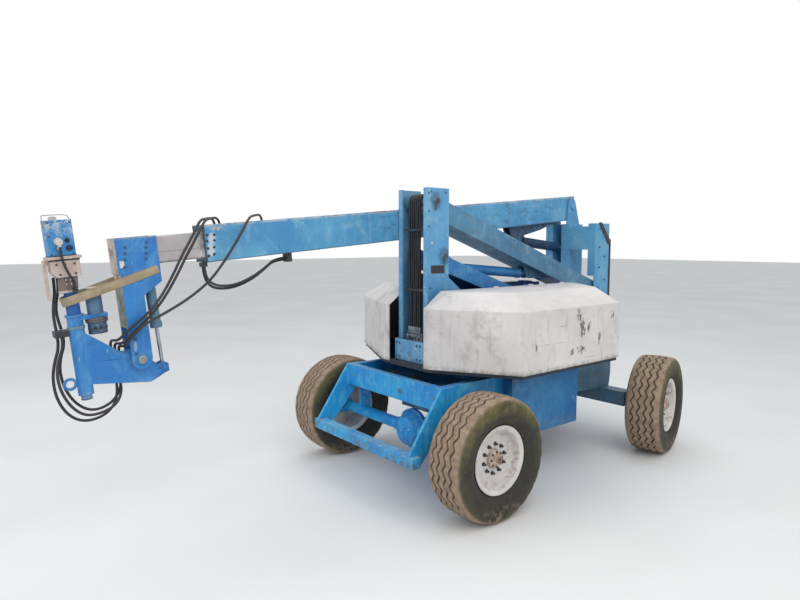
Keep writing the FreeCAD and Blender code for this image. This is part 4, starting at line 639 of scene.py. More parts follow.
# Meshes
class Shape:
    """Faces drawn in millimetres in the directions of a placing matrix."""

    def __init__(self, place=MACHINE):
        self.bm = bmesh.new()
        self.place = place

    def box(self, x0, x1, y0, y1, z0, z1, turn=None):
        points = [Vector((x, y, z)) for x in (x0, x1) for y in (y0, y1) for z in (z0, z1)]
        v = [self.bm.verts.new(turn @ p if turn else p) for p in points]
        for face in ((0, 1, 3, 2), (4, 6, 7, 5), (0, 4, 5, 1), (2, 3, 7, 6), (0, 2, 6, 4), (1, 5, 7, 3)):
            self.bm.faces.new([v[i] for i in face])
        return self

    def lathe(self, profile, centre, axis, n=32, start=0.0, caps=True):
        """Revolves (radius, height) pairs round an axis through a point. Zero radii close the ends."""
        axis = Vector(axis).normalized()
        helper = Vector(UP) if abs(axis.z) < 0.9 else Vector(AHEAD)
        u = axis.cross(helper).normalized()
        w = axis.cross(u)
        rings = []
        for r, h in profile:
            middle = Vector(centre) + axis * h
            if r < 1e-6:
                rings.append([self.bm.verts.new(middle)])
                continue
            turns = [start + 2 * math.pi * k / n for k in range(n)]
            rings.append([self.bm.verts.new(middle + (u * math.cos(t) + w * math.sin(t)) * r) for t in turns])
        for a, b in zip(rings, rings[1:]):
            for k in range(n):
                j = (k + 1) % n
                if len(a) == 1 and len(b) == 1:
                    continue
                if len(a) == 1:
                    self.bm.faces.new((a[0], b[j], b[k]))
                elif len(b) == 1:
                    self.bm.faces.new((a[k], a[j], b[0]))
                else:
                    self.bm.faces.new((a[k], a[j], b[j], b[k]))
        if caps and len(rings[0]) > 1:
            self.bm.faces.new(list(reversed(rings[0])))
        if caps and len(rings[-1]) > 1:
            self.bm.faces.new(rings[-1])
        return self

    def rod(self, a, b, r, n, edge=0.0):
        length = (Vector(b) - Vector(a)).length
        profile = [(r, 0), (r, length)]
        if edge:
            profile = [(r - edge, 0), (r, edge), (r, length - edge), (r - edge, length)]
        return self.lathe(profile, a, Vector(b) - Vector(a), n)

    def bolt(self, at, axis, size, height=None, washer=True):
        """A hexagon head on a washer, standing on a face at a point."""
        height = height or size * 0.36
        start = 0.0
        if washer:
            start = size * 0.1
            self.lathe([(size * 0.62, 0), (size * 0.62, start), (size * 0.45, start)], at, axis, 16)
        profile = [(size * 0.52, start), (size * 0.52, start + height * 0.8), (size * 0.4, start + height)]
        return self.lathe(profile, at, axis, 6, chance.uniform(0, 1))

    def pin_head(self, at, axis, r, tall):
        """A flat round head with a chamfer and a small centre."""
        rim = [(r, 0), (r, tall * 0.7), (r - tall * 0.3, tall)]
        return self.lathe(rim + [(r * 0.3, tall), (r * 0.26, tall * 0.6), (0, tall * 0.6)], at, axis)


def settle(obj, body, stands_for):
    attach(obj, body)
    if stands_for:
        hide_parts(*stands_for)
    return obj


def close(bm):
    bmesh.ops.recalc_face_normals(bm, faces=bm.faces[:])


def make(name, bm, look, body, stands_for=(), round_off=0.0, slot=None, smooth=35):
    """Turns faces into an object, with its material and the body it rides on."""
    mesh = bpy.data.meshes.new(name)
    bm.to_mesh(mesh)
    bm.free()
    mesh.materials.append(look)
    mesh.shade_smooth()
    obj = add_object(name, mesh)
    if round_off:
        bevel = obj.modifiers.new("round", "BEVEL")
        bevel.width = round_off / 1000
        bevel.segments = 2
        bevel.limit_method = "ANGLE"
        bevel.angle_limit = math.radians(smooth)
        bevel.harden_normals = True
    else:
        mesh.set_sharp_from_angle(angle=math.radians(smooth))
    return settle(obj, body, stands_for)


def piece(name, shape, look, body, **more):
    """Places a shape in the row frame and turns it into an object."""
    close(shape.bm)
    shape.bm.transform(shape.place)
    make(name, shape.bm, look, body, **more)


def curve(name, points, radius, look, body, stands_for=(), sides=6):
    """A round cord whose control points are given in metres in the row frame."""
    data = bpy.data.curves.new(name, "CURVE")
    data.dimensions = "3D"
    spline = data.splines.new("NURBS")
    spline.points.add(len(points) - 1)
    for point, at in zip(spline.points, points):
        point.co = (at[0], at[1], at[2], 1.0)
    spline.order_u = 3
    spline.use_endpoint_u = True
    spline.resolution_u = 12
    data.bevel_depth = radius
    data.bevel_resolution = sides
    data.use_fill_caps = True
    data.materials.append(look)
    return settle(add_object(name, data), body, stands_for)


# Hoses and the lead. Their points repeat the source's routes, as (along, above, y) on the boom.
PAIR_A = [
    (3526, -20, -334), (3526, 66, -334), (3556, 134, -294), (3640, 130, -200), (3722, 124, -78),
    (3792, 28, -50), (3864, -72, -50), (3932, -186, -54), (4004, -290, -58), (4080, -374, -64),
    (4156, -428, -70),
    (4222, -474, -84), (4264, -526, -128), (4278, -530, -236), (4279, -572, -266), (4278, -664, -268),
    (4276, -752, -262), (4278, -838, -252), (4304, -914, -242), (4370, -966, -230), (4476, -974, -220),
    (4556, -918, -212), (4602, -812, -214), (4607, -688, -220), (4580, -588, -222), (4550, -518, -222),
    (4550, -462.3, -222)]
PAIR_B = [
    (3490, -20, -334), (3490, 66, -334), (3522, 134, -294), (3608, 130, -200), (3692, 122, -78),
    (3768, 20, -50), (3842, -84, -50), (3912, -196, -54), (3984, -298, -60), (4062, -386, -68),
    (4142, -452, -76),
    (4206, -502, -88), (4244, -548, -128), (4258, -552, -236), (4258, -596, -266), (4257, -686, -268),
    (4256, -768, -262), (4258, -850, -236), (4306, -912, -204), (4392, -936, -188), (4478, -926, -168),
    (4542, -862, -160), (4582, -764, -164), (4590, -660, -174), (4564, -574, -190), (4532, -516, -194),
    (4532, -462.3, -194)]
SINGLE = [
    (3190, -20, -334), (3190, 66, -334), (3216, 134, -294), (3304, 130, -200), (3400, 122, -78),
    (3474, 30, -50), (3550, -66, -48), (3626, -158, -50), (3708, -242, -54), (3806, -308, -56),
    (3910, -360, -52),
    (4022, -404, -44), (4130, -442, -42), (4196, -500, -60), (4234, -566, -118), (4238, -570, -236),
    (4238, -614, -266), (4237, -700, -276), (4238, -776, -286), (4262, -858, -280), (4326, -916, -262),
    (4426, -930, -252), (4502, -872, -250), (4550, -772, -250), (4562, -664, -252), (4546, -580, -250),
    (4518, -516, -248), (4518, -462.3, -248)]
LOOP_A = [
    (3706, -164.3, -140), (3706, -232, -140), (3662, -284, -142), (3586, -304, -146), (3490, -300, -150),
    (3376, -264, -152), (3282, -212, -152), (3214, -168, -152), (3134.3, -168, -152)]
LOOP_B = [
    (3706, -164.3, -166), (3706, -240, -166), (3668, -300, -168), (3592, -322, -172), (3494, -320, -176),
    (3380, -284, -178), (3286, -230, -178), (3218, -182, -178), (3134.3, -182, -178)]
POST_A = [(4526, -130.3, -214), (4526, -200, -214), (4546, -284, -222), (4554, -364, -224),
          (4550, -425, -222)]
POST_B = [(4502, -130.3, -246), (4502, -196, -246), (4526, -276, -258), (4532, -356, -260),
          (4520, -425, -254)]
LEAD = [(4488, 34, -101), (4488, -32, -101), (4474, -90, -97), (4452, -140, -108), (4438, -166, -136),
        (4438, -199.7, -136)]


def cord(name, node, points, size, body, look=rubber):
    """A cord of a diameter in millimetres, through points in metres."""
    obj = curve(name, points, size / 2000, look, body, (node,))


for node, route, size, length, body, stiffness in (
        ("hose_pair_a", PAIR_A, 16, 2547, "platform_bracket", "stiff"),
        ("hose_pair_b", PAIR_B, 16, 2492, "platform_bracket", "stiff"),
        ("hose_single", SINGLE, 16, 2678, "platform_bracket", "stiff"),
        ("hose_loop_a", LOOP_A, 16, 691, "boom_outer", "stiff"),
        ("hose_loop_b", LOOP_B, 16, 710, "boom_outer", "stiff"),
        ("post_hose_a", POST_A, 16, 297, "platform_mount", "stiff"),
        ("post_hose_b", POST_B, 16, 299, "platform_mount", "stiff"),
        ("control_lead", LEAD, 14, 252, "platform_mount", "medium")):
    points = [BOOM @ Vector((s, y, n)) for s, n, y in route]
    cord(node + "_soft", node, points, size, body)

# The six hoses in the mast, whose routes waver a little: from the valve block over the upper pin to the upper
# arm
for number, (dx, dy) in enumerate(((-5, 4), (3, -4), (-3, 3), (5, 2), (-5, -3), (2, 4))):
    y = HOSE_FIRST_Y + HOSE_STEP * number
    route = [(1006, y, VALVE_TOP), (1006, y, 1230), (1006 + dx, y + dy, 1400), (1006 - dx, y, 1600),
             (1006 + dx, y - dy, 1800), (1006 - dx, y + dy, 1960), (1006, y, 2080), (1006, y, 2161.8),
             (963.9, y, 2191.7), (905, y, 2171), (882.9, y, 2163.4)]
    cord("mast_hose_%d_soft" % (number + 1), "mast_hoses", [MACHINE @ Vector(p) for p in route], 18,
         "turntable", look=rubber_fine)

# The webbing strap: a flat band round the post and along both sides of the drop arm
STRAP_SLOPE = math.radians(14.2)
STRAP_HALF = 25


def strap_path():
    """The band's inner line as (u, v) in its sloping plane, from its near end round the post to its far end."""
    near = 54.0
    far = 82.3
    corner = (4226 - POST_S) / math.cos(STRAP_SLOPE)
    rear = (3992 - POST_S) / math.cos(STRAP_SLOPE)
    lean = math.atan((far - near) / -corner)
    points = [(rear + (corner - rear) * k / 8, far) for k in range(8)]
    reach = -near * math.sin(lean) - corner
    climb = near * math.cos(lean) - far
    points += [(corner + reach * (k / 7), far + climb * (k / 7)) for k in range(7)]
    turn = math.pi / 2 + lean
    for k in range(25):
        angle = turn - 2 * turn * k / 24
        points.append((near * math.cos(angle), near * math.sin(angle)))
    return points + [(u, -v) for u, v in reversed(points[1:15])] + [(rear, -far)]


def build_strap():
    path = strap_path()
    slope = Matrix.Rotation(STRAP_SLOPE, 4, "Y")
    place = BOOM @ Matrix.Translation((POST_S, BOOM_Y, -258)) @ slope
    bm = bmesh.new()
    side_layer = bm.verts.layers.float.new("across")
    far_layer = bm.verts.layers.float.new("along")
    rings = []
    run = 0.0
    wide = (-STRAP_HALF, -24.2, -12, 0, 12, 24.2, STRAP_HALF)
    for k, (u, v) in enumerate(path):
        before = path[max(k - 1, 0)]
        after = path[min(k + 1, len(path) - 1)]
        along = Vector((after[0] - before[0], after[1] - before[1])).normalized()
        out = Vector((-along.y, along.x))
        if k:
            run += math.hypot(u - before[0], v - before[1])
        belly = 0.25 * math.sin(run / 52) + 0.35
        ring = []
        for row, depth in ((wide, 3.0), (tuple(reversed(wide)), 0.0)):
            for w in row:
                thin = 0.6 if abs(w) == STRAP_HALF else 0.0
                lift = depth - thin if depth else thin
                lift += belly * (1 - (w / STRAP_HALF) ** 2)
                vert = bm.verts.new(place @ Vector((u + out.x * lift, v + out.y * lift, w)))
                vert[side_layer] = w / STRAP_HALF
                vert[far_layer] = run / 1000
                ring.append(vert)
        rings.append(ring)
    for a, b in zip(rings, rings[1:]):
        for i in range(len(a)):
            j = (i + 1) % len(a)
            bm.faces.new((a[i], a[j], b[j], b[i]))
    bm.faces.new(rings[0])
    bm.faces.new(list(reversed(rings[-1])))
    close(bm)
    obj = make("webbing_strap_band", bm, webbing, "platform_bracket", ("webbing_strap",), slot="webbing",
               smooth=50)


build_strap()

# Wheels
GROOVES = (-80, -27, 27, 80)
ZIGZAGS = 28
WAVE = (-1.0, -0.6, 0.0, 0.6, 1.0, 0.6, 0.0, -0.6)
WALL = ((98, 214, 0), (104, 231.5, 0), (114, 243, 0), (131, 258, 0), (142, 278, 0), (147, 296, 0),
        (148.6, 302, 0), (148.6, 314, 0), (148, 320, 0), (149, 336, 0), (148, 356, 0),
        (145.5, 374, 0.0), (142, 388, 0.1))
SHOULDER = ((137.5, 398, 0.45), (131, 405.6, 1.0), (122, 410.8, 1.0), (108, 414.4, 1.0))


def tyre_section():
    """Columns of the tyre's outside: side, radius, share of the zigzag, share of the notch, tread colour."""
    half = [(y, r, 0.0, 0.0, tread) for y, r, tread in WALL]
    half += [(y, r, 0.0, 1.0 if y > 125 else 0.0, tread) for y, r, tread in SHOULDER]
    columns = [(-y, *rest) for y, *rest in half]
    for y in GROOVES:
        crown = 420 - 0.00042 * y * y
        for side, depth, tread in ((-8.5, 0, 1.0), (-4.5, 14, 0.15), (4.5, 14, 0.15), (8.5, 0, 1.0)):
            columns.append((y + side, crown - depth, 1.0, 0.0, tread))
        if y < 70:
            middle = y + 27
            columns.append((middle, 420 - 0.00042 * middle * middle, 1.0, 0.0, 1.0))
    return columns + half[::-1]


def build_tyre(name, node, centre, steer, body):
    """A ribbed tyre with zigzag grooves, its walls stepped and its shoulders notched."""
    bm = bmesh.new()
    shade = bm.verts.layers.float.new("tread")
    growth = bm.verts.layers.float.new("growth")
    columns = tyre_section()
    count = ZIGZAGS * 8
    turn = Matrix.Rotation(math.radians(steer), 4, "Z")
    rings = []
    for k in range(count):
        angle = 2 * math.pi * k / count
        zig = WAVE[k % 8] * 12.0
        notch = 3.5 if k % 8 in (6, 7) else 0.0
        ring = []
        for y, r, zig_share, notch_share, tread in columns:
            radius = r - notch * notch_share
            at = Vector((radius * math.cos(angle), y + zig * zig_share, radius * math.sin(angle)))
            v = bm.verts.new(turn @ at / 1000 + Vector(centre))
            v[shade] = tread
            v[growth] = min(max((r - 285) / 90, 0.15), 1.0)
            ring.append(v)
        rings.append(ring)
    width = len(columns)
    for a, b in zip(rings, rings[1:] + rings[:1]):
        for i in range(width - 1):
            bm.faces.new((a[i], a[i + 1], b[i + 1], b[i]))
        bm.faces.new((a[width - 1], a[0], b[0], b[width - 1]))
    close(bm)
    make(name, bm, tyre_paint, body, (node,), slot="tyre", smooth=42)


def wheel_place(centre, outward, steer):
    """Along the wheel's axle is Z here, outboard, so that lathes and bolts stand on it."""
    turn = Matrix.Rotation(math.radians(steer), 4, "Z")
    m = Matrix.Identity(4)
    m.col[0] = turn @ Vector((-outward, 0, 0, 0)) / 1000
    m.col[2] = turn @ Vector((0, outward, 0, 0)) / 1000
    m.col[1] = Vector((0, 0, 0.001, 0))
    m.col[3] = Vector((*centre, 1))
    return m


DISC = 56
STUD_R = 97
# Outlines of the rim, from its inner lip, and of both kinds of hub, as (radius, height above the disc)
RIM = ((192, -174), (230, -174), (231, -170), (231, -166), (200, -164), (196, -116), (196, 4), (201, 48),
       (226, 53), (231, 56), (231, 60), (228, 62), (221, 61), (212, 56), (198, 51), (192, 36),
       (190, 8), (184, -4),
       (170, -9), (120, -3), (96, 0), (64, 0), (64, -14), (88, -40), (88, -12), (170, -18),
       (188, -12), (192, -20),
       (192, -174))
DRIVE_HUB = ((66, -12), (66, 4), (62, 6), (62, 22), (59, 26), (40, 28), (34, 40), (24, 44), (22, 54), (0, 55))
STEER_HUB = ((66, -12), (66, 8), (60, 14), (56, 34), (48, 42), (40, 44), (38, 54), (0, 55))


def build_rim(name, node, centre, outward, steer, body):
    """A pressed rim with a recessed disc, its nuts and a hub."""
    place = wheel_place(centre, outward, steer)
    shape = Shape(place).lathe([(r, DISC + h) for r, h in RIM], (0, 0, 0), UP, 96, caps=False)
    # The well attribute marks the ring where the rim's look lays dirt and painted shade.
    deep = shape.bm.verts.layers.float.new("well")
    for v in shape.bm.verts:
        v[deep] = 1.0 if 160 < math.hypot(v.co.x, v.co.y) < 200 and v.co.z > 0 else 0.0
    piece(name, shape, rim_paint, body, stands_for=(node,), slot="rim_paint", smooth=40)
    kind = (STEER_HUB, 8, 5, 30, 43) if steer else (DRIVE_HUB, 10, 8, 50, 26)
    profile, studs, cap_count, cap_r, cap_h = kind
    hub = Shape(place).lathe([(r, DISC + h) for r, h in profile], (0, 0, 0), UP, 48)
    piece(name + "_hub", hub, hub_paint, body, slot="rim_paint")
    nuts = Shape(place)
    for x, y in circle(studs, STUD_R, start=0.3):
        nuts.bolt((x, y, DISC - 0.4), UP, 22, 14)
        nuts.rod((x, y, DISC - 0.4), (x, y, DISC + 24), 7, 10)
    piece(name + "_nuts", nuts, bolt_dark, body, slot="cast")
    caps = Shape(place)
    for x, y in circle(cap_count, cap_r):
        caps.bolt((x, y, DISC + cap_h), UP, 14, 8)
    caps.lathe([(19, DISC + 50), (19, DISC + 54.5), (0, DISC + 55.5)], (0, 0, 0), UP, 20)
    piece(name + "_cap_bolts", caps, bolt_rusty, body, slot="cast")


for label, axle_x, steer, side in (("drive_near", AXLE_X, 0, 1), ("drive_far", AXLE_X, 0, -1),
                                   ("steer_near", -AXLE_X, STEER, 1), ("steer_far", -AXLE_X, STEER, -1)):
    x = axle_x
    y = side * WHEEL_Y
    if steer:
        x = axle_x - side * KINGPIN_IN * math.sin(math.radians(steer))
        y = side * (WHEEL_Y - KINGPIN_IN) + side * KINGPIN_IN * math.cos(math.radians(steer))
    centre = ((x + SHIFT) / 1000, y / 1000, WHEEL_Z / 1000)
    build_tyre("tyre_" + label + "_ribbed", "tyre_" + label, centre, steer, "wheel_" + label)
    build_rim("rim_" + label + "_pressed", "rim_" + label, centre, side, steer, "wheel_" + label)


# The hoods' shells with softly rounded shoulders and corners
def build_hood(node):
    bm = bmesh.new()
    bm.from_mesh(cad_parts[node].data)
    bmesh.ops.remove_doubles(bm, verts=bm.verts[:], dist=0.00002)
    bmesh.ops.dissolve_limit(bm, angle_limit=0.01, verts=bm.verts[:], edges=bm.edges[:])
    long_edges = []
    for e in bm.edges:
        if len(e.link_faces) == 2 and e.calc_length() > 0.1:
            if 12 < math.degrees(e.calc_face_angle(0.0)) < 75:
                long_edges.append(e)
    bmesh.ops.bevel(bm, geom=long_edges, offset=0.038, offset_type="OFFSET", segments=5, profile=0.5,
                    affect="EDGES", clamp_overlap=True)
    make(node + "_moulded", bm, hood_paint, node, (node,), slot="hood_shell", smooth=28)


build_hood("hood_near")
build_hood("hood_far")


# Fittings on the boom and its head
def bolts(name, place, look, body, rows, slot="cast"):
    """Bolts as (along, side, above, direction, size)."""
    shape = Shape(place)
    for x, y, z, way, size in rows:
        shape.bolt((x, y, z), way, size)
    piece(name, shape, look, body, slot=slot)


def pairs(places, near_y, far_y, size):
    """Rows for bolts that stand on both sides, near and far."""
    return [(x, y, z, way, size) for x, z in places for y, way in ((near_y, NEAR), (far_y, FAR))]


HEAD_BOLTS = ((4160, 1), (4165, -33), (4170, -69), (4176, -111), (4040, 21), (4044, -10), (4049, -44),
              (4053, -73))
MOUTH_BOLTS = ((3679, 30), (3684, -6), (3684, -52), (3684, -98), (3634, 28), (3638, -6), (3644, -48),
               (3649, -91))
bolts("head_bolts", BOOM, bolt_blue, "boom_inner",
      pairs(HEAD_BOLTS, -113, -277, 15) + pairs(((4171, -532), (4177, -617)), -113, -277, 17))
bolts("mouth_bolts", BOOM, bolt_dark, "boom_outer", pairs(MOUTH_BOLTS, -100, -290, 14))

tag = Shape(BOOM).box(4176, 4201, -113, -111.6, -114, -74)
piece("head_blank_tag", tag, white_plastic, "boom_inner", round_off=0.6)

shape = Shape(BOOM)
for y, way in ((-101, NEAR), (-289, FAR)):
    shape.lathe([(25, 0), (25, 4), (21, 6), (13, 6), (12, 3), (0, 3)], (4150, y, -657), way)
piece("tilt_pin_caps", shape, steel, "boom_inner", slot="chromed")

profile = [(41, -8), (45.5, -8), (46.5, 0), (46.5, 8), (44, 10), (41, 10)]
piece("post_clamp_band", Shape(BOOM).lathe(profile, (POST_S, BOOM_Y, -420), UP, 48), paint_level,
      "platform_bracket", smooth=50)

shape = Shape(BOOM).lathe([(30, 0), (30, -5), (22, -7), (20, -2), (0, -2)], (POST_S, BOOM_Y, -831), UP)
for x, y in circle(6, 25, POST_S, BOOM_Y):
    shape.bolt((x, y, -834), DOWN, 7, 3, washer=False)
piece("post_foot_cap", shape, bolt_dark, "platform_bracket", slot="cast")

ROTATOR = (ROTATOR_S, BOOM_Y, 0)
shape = Shape(BOOM)
shape.lathe([(40, -206), (41, -206), (44, -208), (44, -216), (42, -218)], ROTATOR, UP, 40, caps=False)
shape.lathe([(43.5, -208), (40, -206.5), (20, -205.5), (18, -205), (0, -205)], ROTATOR, UP, 40)
piece("rotator_lid", shape, white_plastic, "platform_bracket", smooth=50)

shape = Shape(BOOM)
for x, y in circle(10, 54, ROTATOR_S, BOOM_Y, 0.5):
    if abs(y - BOOM_Y) > 38 or x < ROTATOR_S:
        shape.bolt((x, y, -379), UP, 9, 5)
    shape.bolt((x, y, -401), DOWN, 9, 5)
for r, n in ((58, -394), (50, -446)):
    shape.lathe([(r, n), (r + 1.6, n + 2), (r + 1.6, n + 6), (r, n + 8)], ROTATOR, UP, 48, caps=False)
piece("rotator_flange_bolts", shape, rusty, "platform_bracket", slot="cast")

shape = Shape(BOOM)
for angle, n, size in ((100, -432, 16), (64, -432, 13), (196, -440, 14)):
    way = (math.cos(math.radians(angle)), math.sin(math.radians(angle)), 0)
    shape.bolt((ROTATOR_S + 49 * way[0], BOOM_Y + 49 * way[1], n), way, size, 8)
piece("rotator_ports", shape, cast_dark, "platform_bracket", slot="cast")

# The control box
FACE = -135
shape = Shape(BOOM)
shape.lathe([(21, 0), (21, 4), (18, 8), (18, 13), (13, 13), (13, 5), (0, 5)], (4487, FACE, 63), NEAR)
shape.lathe([(10, 0), (10, 7), (7, 10), (7, 12), (0, 12)], (4488, FACE, 28), NEAR, 24)
shape.box(4470, 4508, -214, -176, 180, 194)
shape.box(4474, 4504, -210, -180, 194, 200)
piece("box_pale_plugs", shape, white_plastic, "platform_mount", round_off=1.2)

shape = Shape(BOOM)
shape.lathe([(7, 5), (7, 8), (4, 9), (0, 9)], (4487, FACE, 63), NEAR, 24)
shape.lathe([(13, 0), (13, 3), (9, 4), (8.4, 16), (7, 18), (0, 18)], (4442, FACE, 68), NEAR, 24)
shape.box(4439.5, 4444.5, FACE + 16, FACE + 21, 56, 80)
piece("box_dark_knobs", shape, black_plastic, "platform_mount", slot="cast")

profile = [(17, 0), (17, 2.5), (14, 3.5), (14, 2), (5, 2), (4, 5), (0, 5)]
piece("box_round_cover", Shape(BOOM).lathe(profile, (4437, FACE, 25), NEAR), navy_plastic, "platform_mount")

FACE_SCREWS = ((4523, 167, 9), (4420, 167, 7), (4526, -4, 7), (4420, -4, 7), (4526, 92, 6))
rows = [(s, FACE, n, NEAR, size) for s, n, size in FACE_SCREWS]
rows += [(s, -255, n, FAR, 7) for s, n in ((4424, 160), (4524, 160), (4424, 0), (4524, 0))]
bolts("box_screws", BOOM, bolt_dark, "platform_mount", rows + [(4538, -200, 106, AHEAD, 8)])

GUARD = ((4414, -160, 180), (4416, -160, 200), (4440, -162, 207), (4500, -164, 208), (4538, -166, 208),
         (4543, -166, 206), (4544.5, -166, 196), (4544.5, -167, 160), (4544.5, -168, 140), (4538, -168, 134))
curve("box_wire_guard", [BOOM @ Vector(p) for p in GUARD], 0.0022, steel, "platform_mount",
      sides=4)

shape = Shape(BOOM)
for a0, a1, y0, y1, n0, n1 in (
        (4407, 4539, -136.2, -134.2, -16, -11), (4407, 4539, -255.8, -253.8, -16, -11),
        (4406.8, 4408.8, -255.8, -134.2, -16, -11), (4537.2, 4539.2, -255.8, -134.2, -16, -11),
        (4395, 4541, -136, -134, -41, -32.4), (4395, 4541, -256, -254, -41, -32.4),
        (4394.4, 4396.4, -256, -134, -41, -32.4), (4539.6, 4541.6, -256, -134, -41, -32.4)):
    shape.box(a0, a1, y0, y1, n0, n1)
piece("box_dark_seams", shape, black_plastic, "platform_mount", slot="cast")

LEGS = ((4424, -114), (4500, -114), (4470, -60), (4424, -60), (4512, -60))
bolts("housing_bolts", BOOM, bolt_rusty, "platform_mount", [(s, FACE, n, NEAR, 10) for s, n in LEGS])

# The mast, between its near and far faces
MAST_NEAR = 242
MAST_FAR = -90
shape = Shape()
for x, z in ((956, 2136), (873, 1734)):
    shape.pin_head((x, 258, z), NEAR, 22, 6)
    shape.box(x - 9, x + 9, MAST_NEAR, 246, z - 62, z - 30)
    shape.bolt((x, 246, z - 52), NEAR, 12)
    shape.pin_head((x, -94, z), FAR, 22, 5)
piece("mast_pin_caps", shape, pin_look, "turntable", slot="cast")

MAST_BOLTS = ((860, 1180), (1010, 1180), (860, 1320), (1010, 1320), (880, 1640), (1010, 1500), (1000, 2200),
              (860, 2200))
rows = [(1024, MAST_NEAR, z, NEAR, 12) for z in (2190, 2060, 1950)]
rows += pairs(MAST_BOLTS, MAST_NEAR, MAST_FAR, 14)
rows += [(1078, y, z, AHEAD, 15) for y in (-70, -30, 170, 210, 262) for z in (1070, 966)]
bolts("mast_bolts", MACHINE, bolt_blue, "turntable", rows)

piece("mast_blank_square", Shape().box(986, 1004, MAST_NEAR, 243.6, 1822, 1840), white_plastic, "turntable",
      round_off=0.5)

shape = Shape().box(868, 1004, MAST_NEAR, 244, 1606, 1666)
for x in (875, 997):
    for z in (1613, 1659):
        shape.lathe([(3, 0), (3, 1.4), (0, 2)], (x, 244, z), NEAR, 12)
piece("mast_blank_plate", shape, data_look, "turntable", round_off=0.6)

shape = Shape()
for z in (1478, 1926):
    shape.box(1017, 1022, -44, 196, z - 8, z + 8)
    shape.box(990, 995, -44, 196, z - 8, z + 8)
    for k in range(7):
        shape.bolt((1022, HOSE_STEP * k - 10, z), AHEAD, 7, 3)
piece("mast_hose_clamps", shape, cast_dark, "turntable", slot="cast")

# Fittings on the valve block: a ferrule for each hose, cartridges and levers
shape = Shape()
for number in range(6):
    at = (1006, HOSE_FIRST_Y + HOSE_STEP * number, VALVE_TOP)
    shape.lathe([(11, 0), (11, 8), (9.6, 9), (9.6, 14)], at, UP, 6)
    shape.lathe([(10.6, 14), (11.2, 16), (11.2, 44), (10, 46)], at, UP, 20, caps=False)
for y, z, r in ((6, 1128, 11), (40, 1132, 9), (72, 1126, 12), (108, 1132, 9), (140, 1128, 11)):
    profile = [(r, 0), (r, 5), (r * 0.7, 6), (r * 0.7, 12), (r * 0.5, 14), (0, 14)]
    shape.lathe(profile, (1023, y, z), AHEAD, 20)
for y in (20, 54, 90, 124):
    shape.rod((970, y, VALVE_TOP), (970, y, 1178), 6, 12, 1)
    shape.lathe([(0, -9), (6, -7), (8.5, 0), (6, 7), (0, 9)], (970, y, 1186), UP, 16)
piece("valve_fittings", shape, valve_look, "turntable", slot="valve", smooth=45)

shape = Shape()
for y, z in ((24, 1112), (58, 1110), (92, 1112), (126, 1108)):
    shape.bolt((1023, y, z), AHEAD, 13, 7)
shape.box(1023, 1027, -6, 158, 1142, 1148)
piece("valve_dark_caps", shape, black_plastic, "turntable", slot="cast")

# The riser knuckle and the boom's rear end
low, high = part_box("riser_knuckle")
KNUCKLE_BOLTS = ((-1100, 1790), (-1102, 1600), (-1180, 1900), (-1184, 1700), (-1190, 1480), (-1100, 1960))
bolts("knuckle_bolts", MACHINE, bolt_blue, "riser_knuckle",
      pairs(KNUCKLE_BOLTS, high[1] * 1000, low[1] * 1000, 16))
EAR_BOLTS = ((40, 0), (-26, 44), (-26, -44))
bolts("boom_ear_bolts", BOOM, bolt_dark, "boom_outer", pairs(EAR_BOLTS, -100, -290, 18))

# The front frame and the drive axle
BAR_X = 1200
TRAY_TOP = 744
shape = Shape()
for y, z in circle(12, 149.5, 100, WHEEL_Z, 0.5):
    shape.bolt((AXLE_X + 9, y, z), AHEAD, 13, 8, washer=False)
shape.lathe([(15, 0), (15, 3), (10, 3), (10, 10), (0, 10)], (AXLE_X + 98, 140, 452), (1, 0.4, 0.5), 6)
piece("axle_cover_bolts", shape, paint_axle, "chassis", slot="blue_paint")

shape = Shape().box(BAR_X, BAR_X + 4, 104, 142, 722, 760).box(BAR_X + 4, BAR_X + 11, 118, 128, 728, 756)
for y in (-480, 500):
    shape.bolt((BAR_X, y, 760), AHEAD, 18)
piece("front_bar_tab", shape, paint_level, "chassis", round_off=1.5, slot="blue_paint")

# Boards, clods and leaves that lie in the front tray
shape = Shape()
for k in range(44):
    x = chance.uniform(920, 1085)
    y = chance.uniform(-430, 60) if k % 3 else chance.uniform(0, 450)
    length = chance.uniform(14, 70)
    turn = Matrix.Translation((x, y, TRAY_TOP + 9 * (k % 5)))
    turn = turn @ Matrix.Rotation(chance.uniform(0, 3.1), 4, "Z")
    turn = turn @ Matrix.Rotation(chance.uniform(-0.12, 0.12), 4, "Y")
    shape.box(-length, length, -chance.uniform(6, 20), chance.uniform(6, 20), -2, chance.uniform(3, 14), turn)
piece("tray_debris", shape, debris_look, "chassis", round_off=2.0)


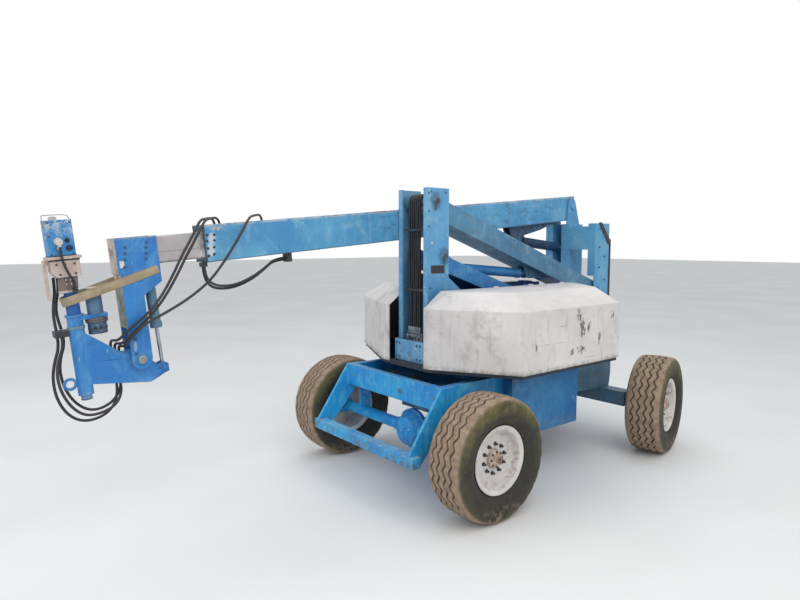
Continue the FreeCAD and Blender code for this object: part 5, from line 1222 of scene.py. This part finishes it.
# Floor and light
def build_floor():
    look = Look("floor_pale")
    look.start((0.6, 3, 0.5, 0.3, 0.7), "E8E8E6", "EEEEED")
    mesh = bpy.data.meshes.new("floor")
    bm = bmesh.new()
    size = 60
    bm.faces.new([bm.verts.new((x * size, y * size, 0)) for x, y in ((-1, -1), (1, -1), (1, 1), (-1, 1))])
    bm.to_mesh(mesh)
    bm.free()
    mesh.materials.append(look.finish(0.9))
    add_object("floor", mesh)


def build_world():
    """White where it is seen, and a softer cool light where it lights."""
    world = bpy.data.worlds.new("studio")
    bpy.context.scene.world = world
    world.use_nodes = True
    tree = world.node_tree
    tree.nodes.clear()
    out = tree.nodes.new("ShaderNodeOutputWorld")
    mix = tree.nodes.new("ShaderNodeMixShader")
    for place, color, strength in ((1, (0.93, 0.96, 1.0, 1), 0.66), (2, (1, 1, 1, 1), 1.0)):
        sky = tree.nodes.new("ShaderNodeBackground")
        sky.inputs["Color"].default_value = color
        sky.inputs["Strength"].default_value = strength
        tree.links.new(sky.outputs[0], mix.inputs[place])
    ray = tree.nodes.new("ShaderNodeLightPath")
    last = ray.outputs["Is Camera Ray"]
    for also in ("Is Glossy Ray", "Is Transmission Ray"):
        more = tree.nodes.new("ShaderNodeMath")
        more.operation = "MAXIMUM"
        tree.links.new(last, more.inputs[0])
        tree.links.new(ray.outputs[also], more.inputs[1])
        last = more.outputs[0]
    tree.links.new(last, mix.inputs[0])
    tree.links.new(mix.outputs[0], out.inputs[0])


def add_lamp(name, at, aim, size, power, color=(1, 1, 1)):
    data = bpy.data.lights.new(name, "AREA")
    data.shape = "RECTANGLE"
    data.size = size
    data.size_y = size
    data.energy = power
    data.color = color
    lamp = add_object(name, data)
    lamp.location = at
    lamp.rotation_euler = (Vector(aim) - Vector(at)).to_track_quat("-Z", "Y").to_euler()


build_floor()
build_world()
bpy.context.scene.view_settings.view_transform = "Standard"
add_lamp("key", (1.5, 5.5, 6.5), (0, 0, 0.8), 6, 225, (1.0, 0.985, 0.96))
add_lamp("fill", (6.5, -1.5, 4.5), (0, 0, 1.0), 5, 85)
add_lamp("top", (-1, -1, 8), (0, 0, 0), 7, 120, (0.95, 0.98, 1.0))
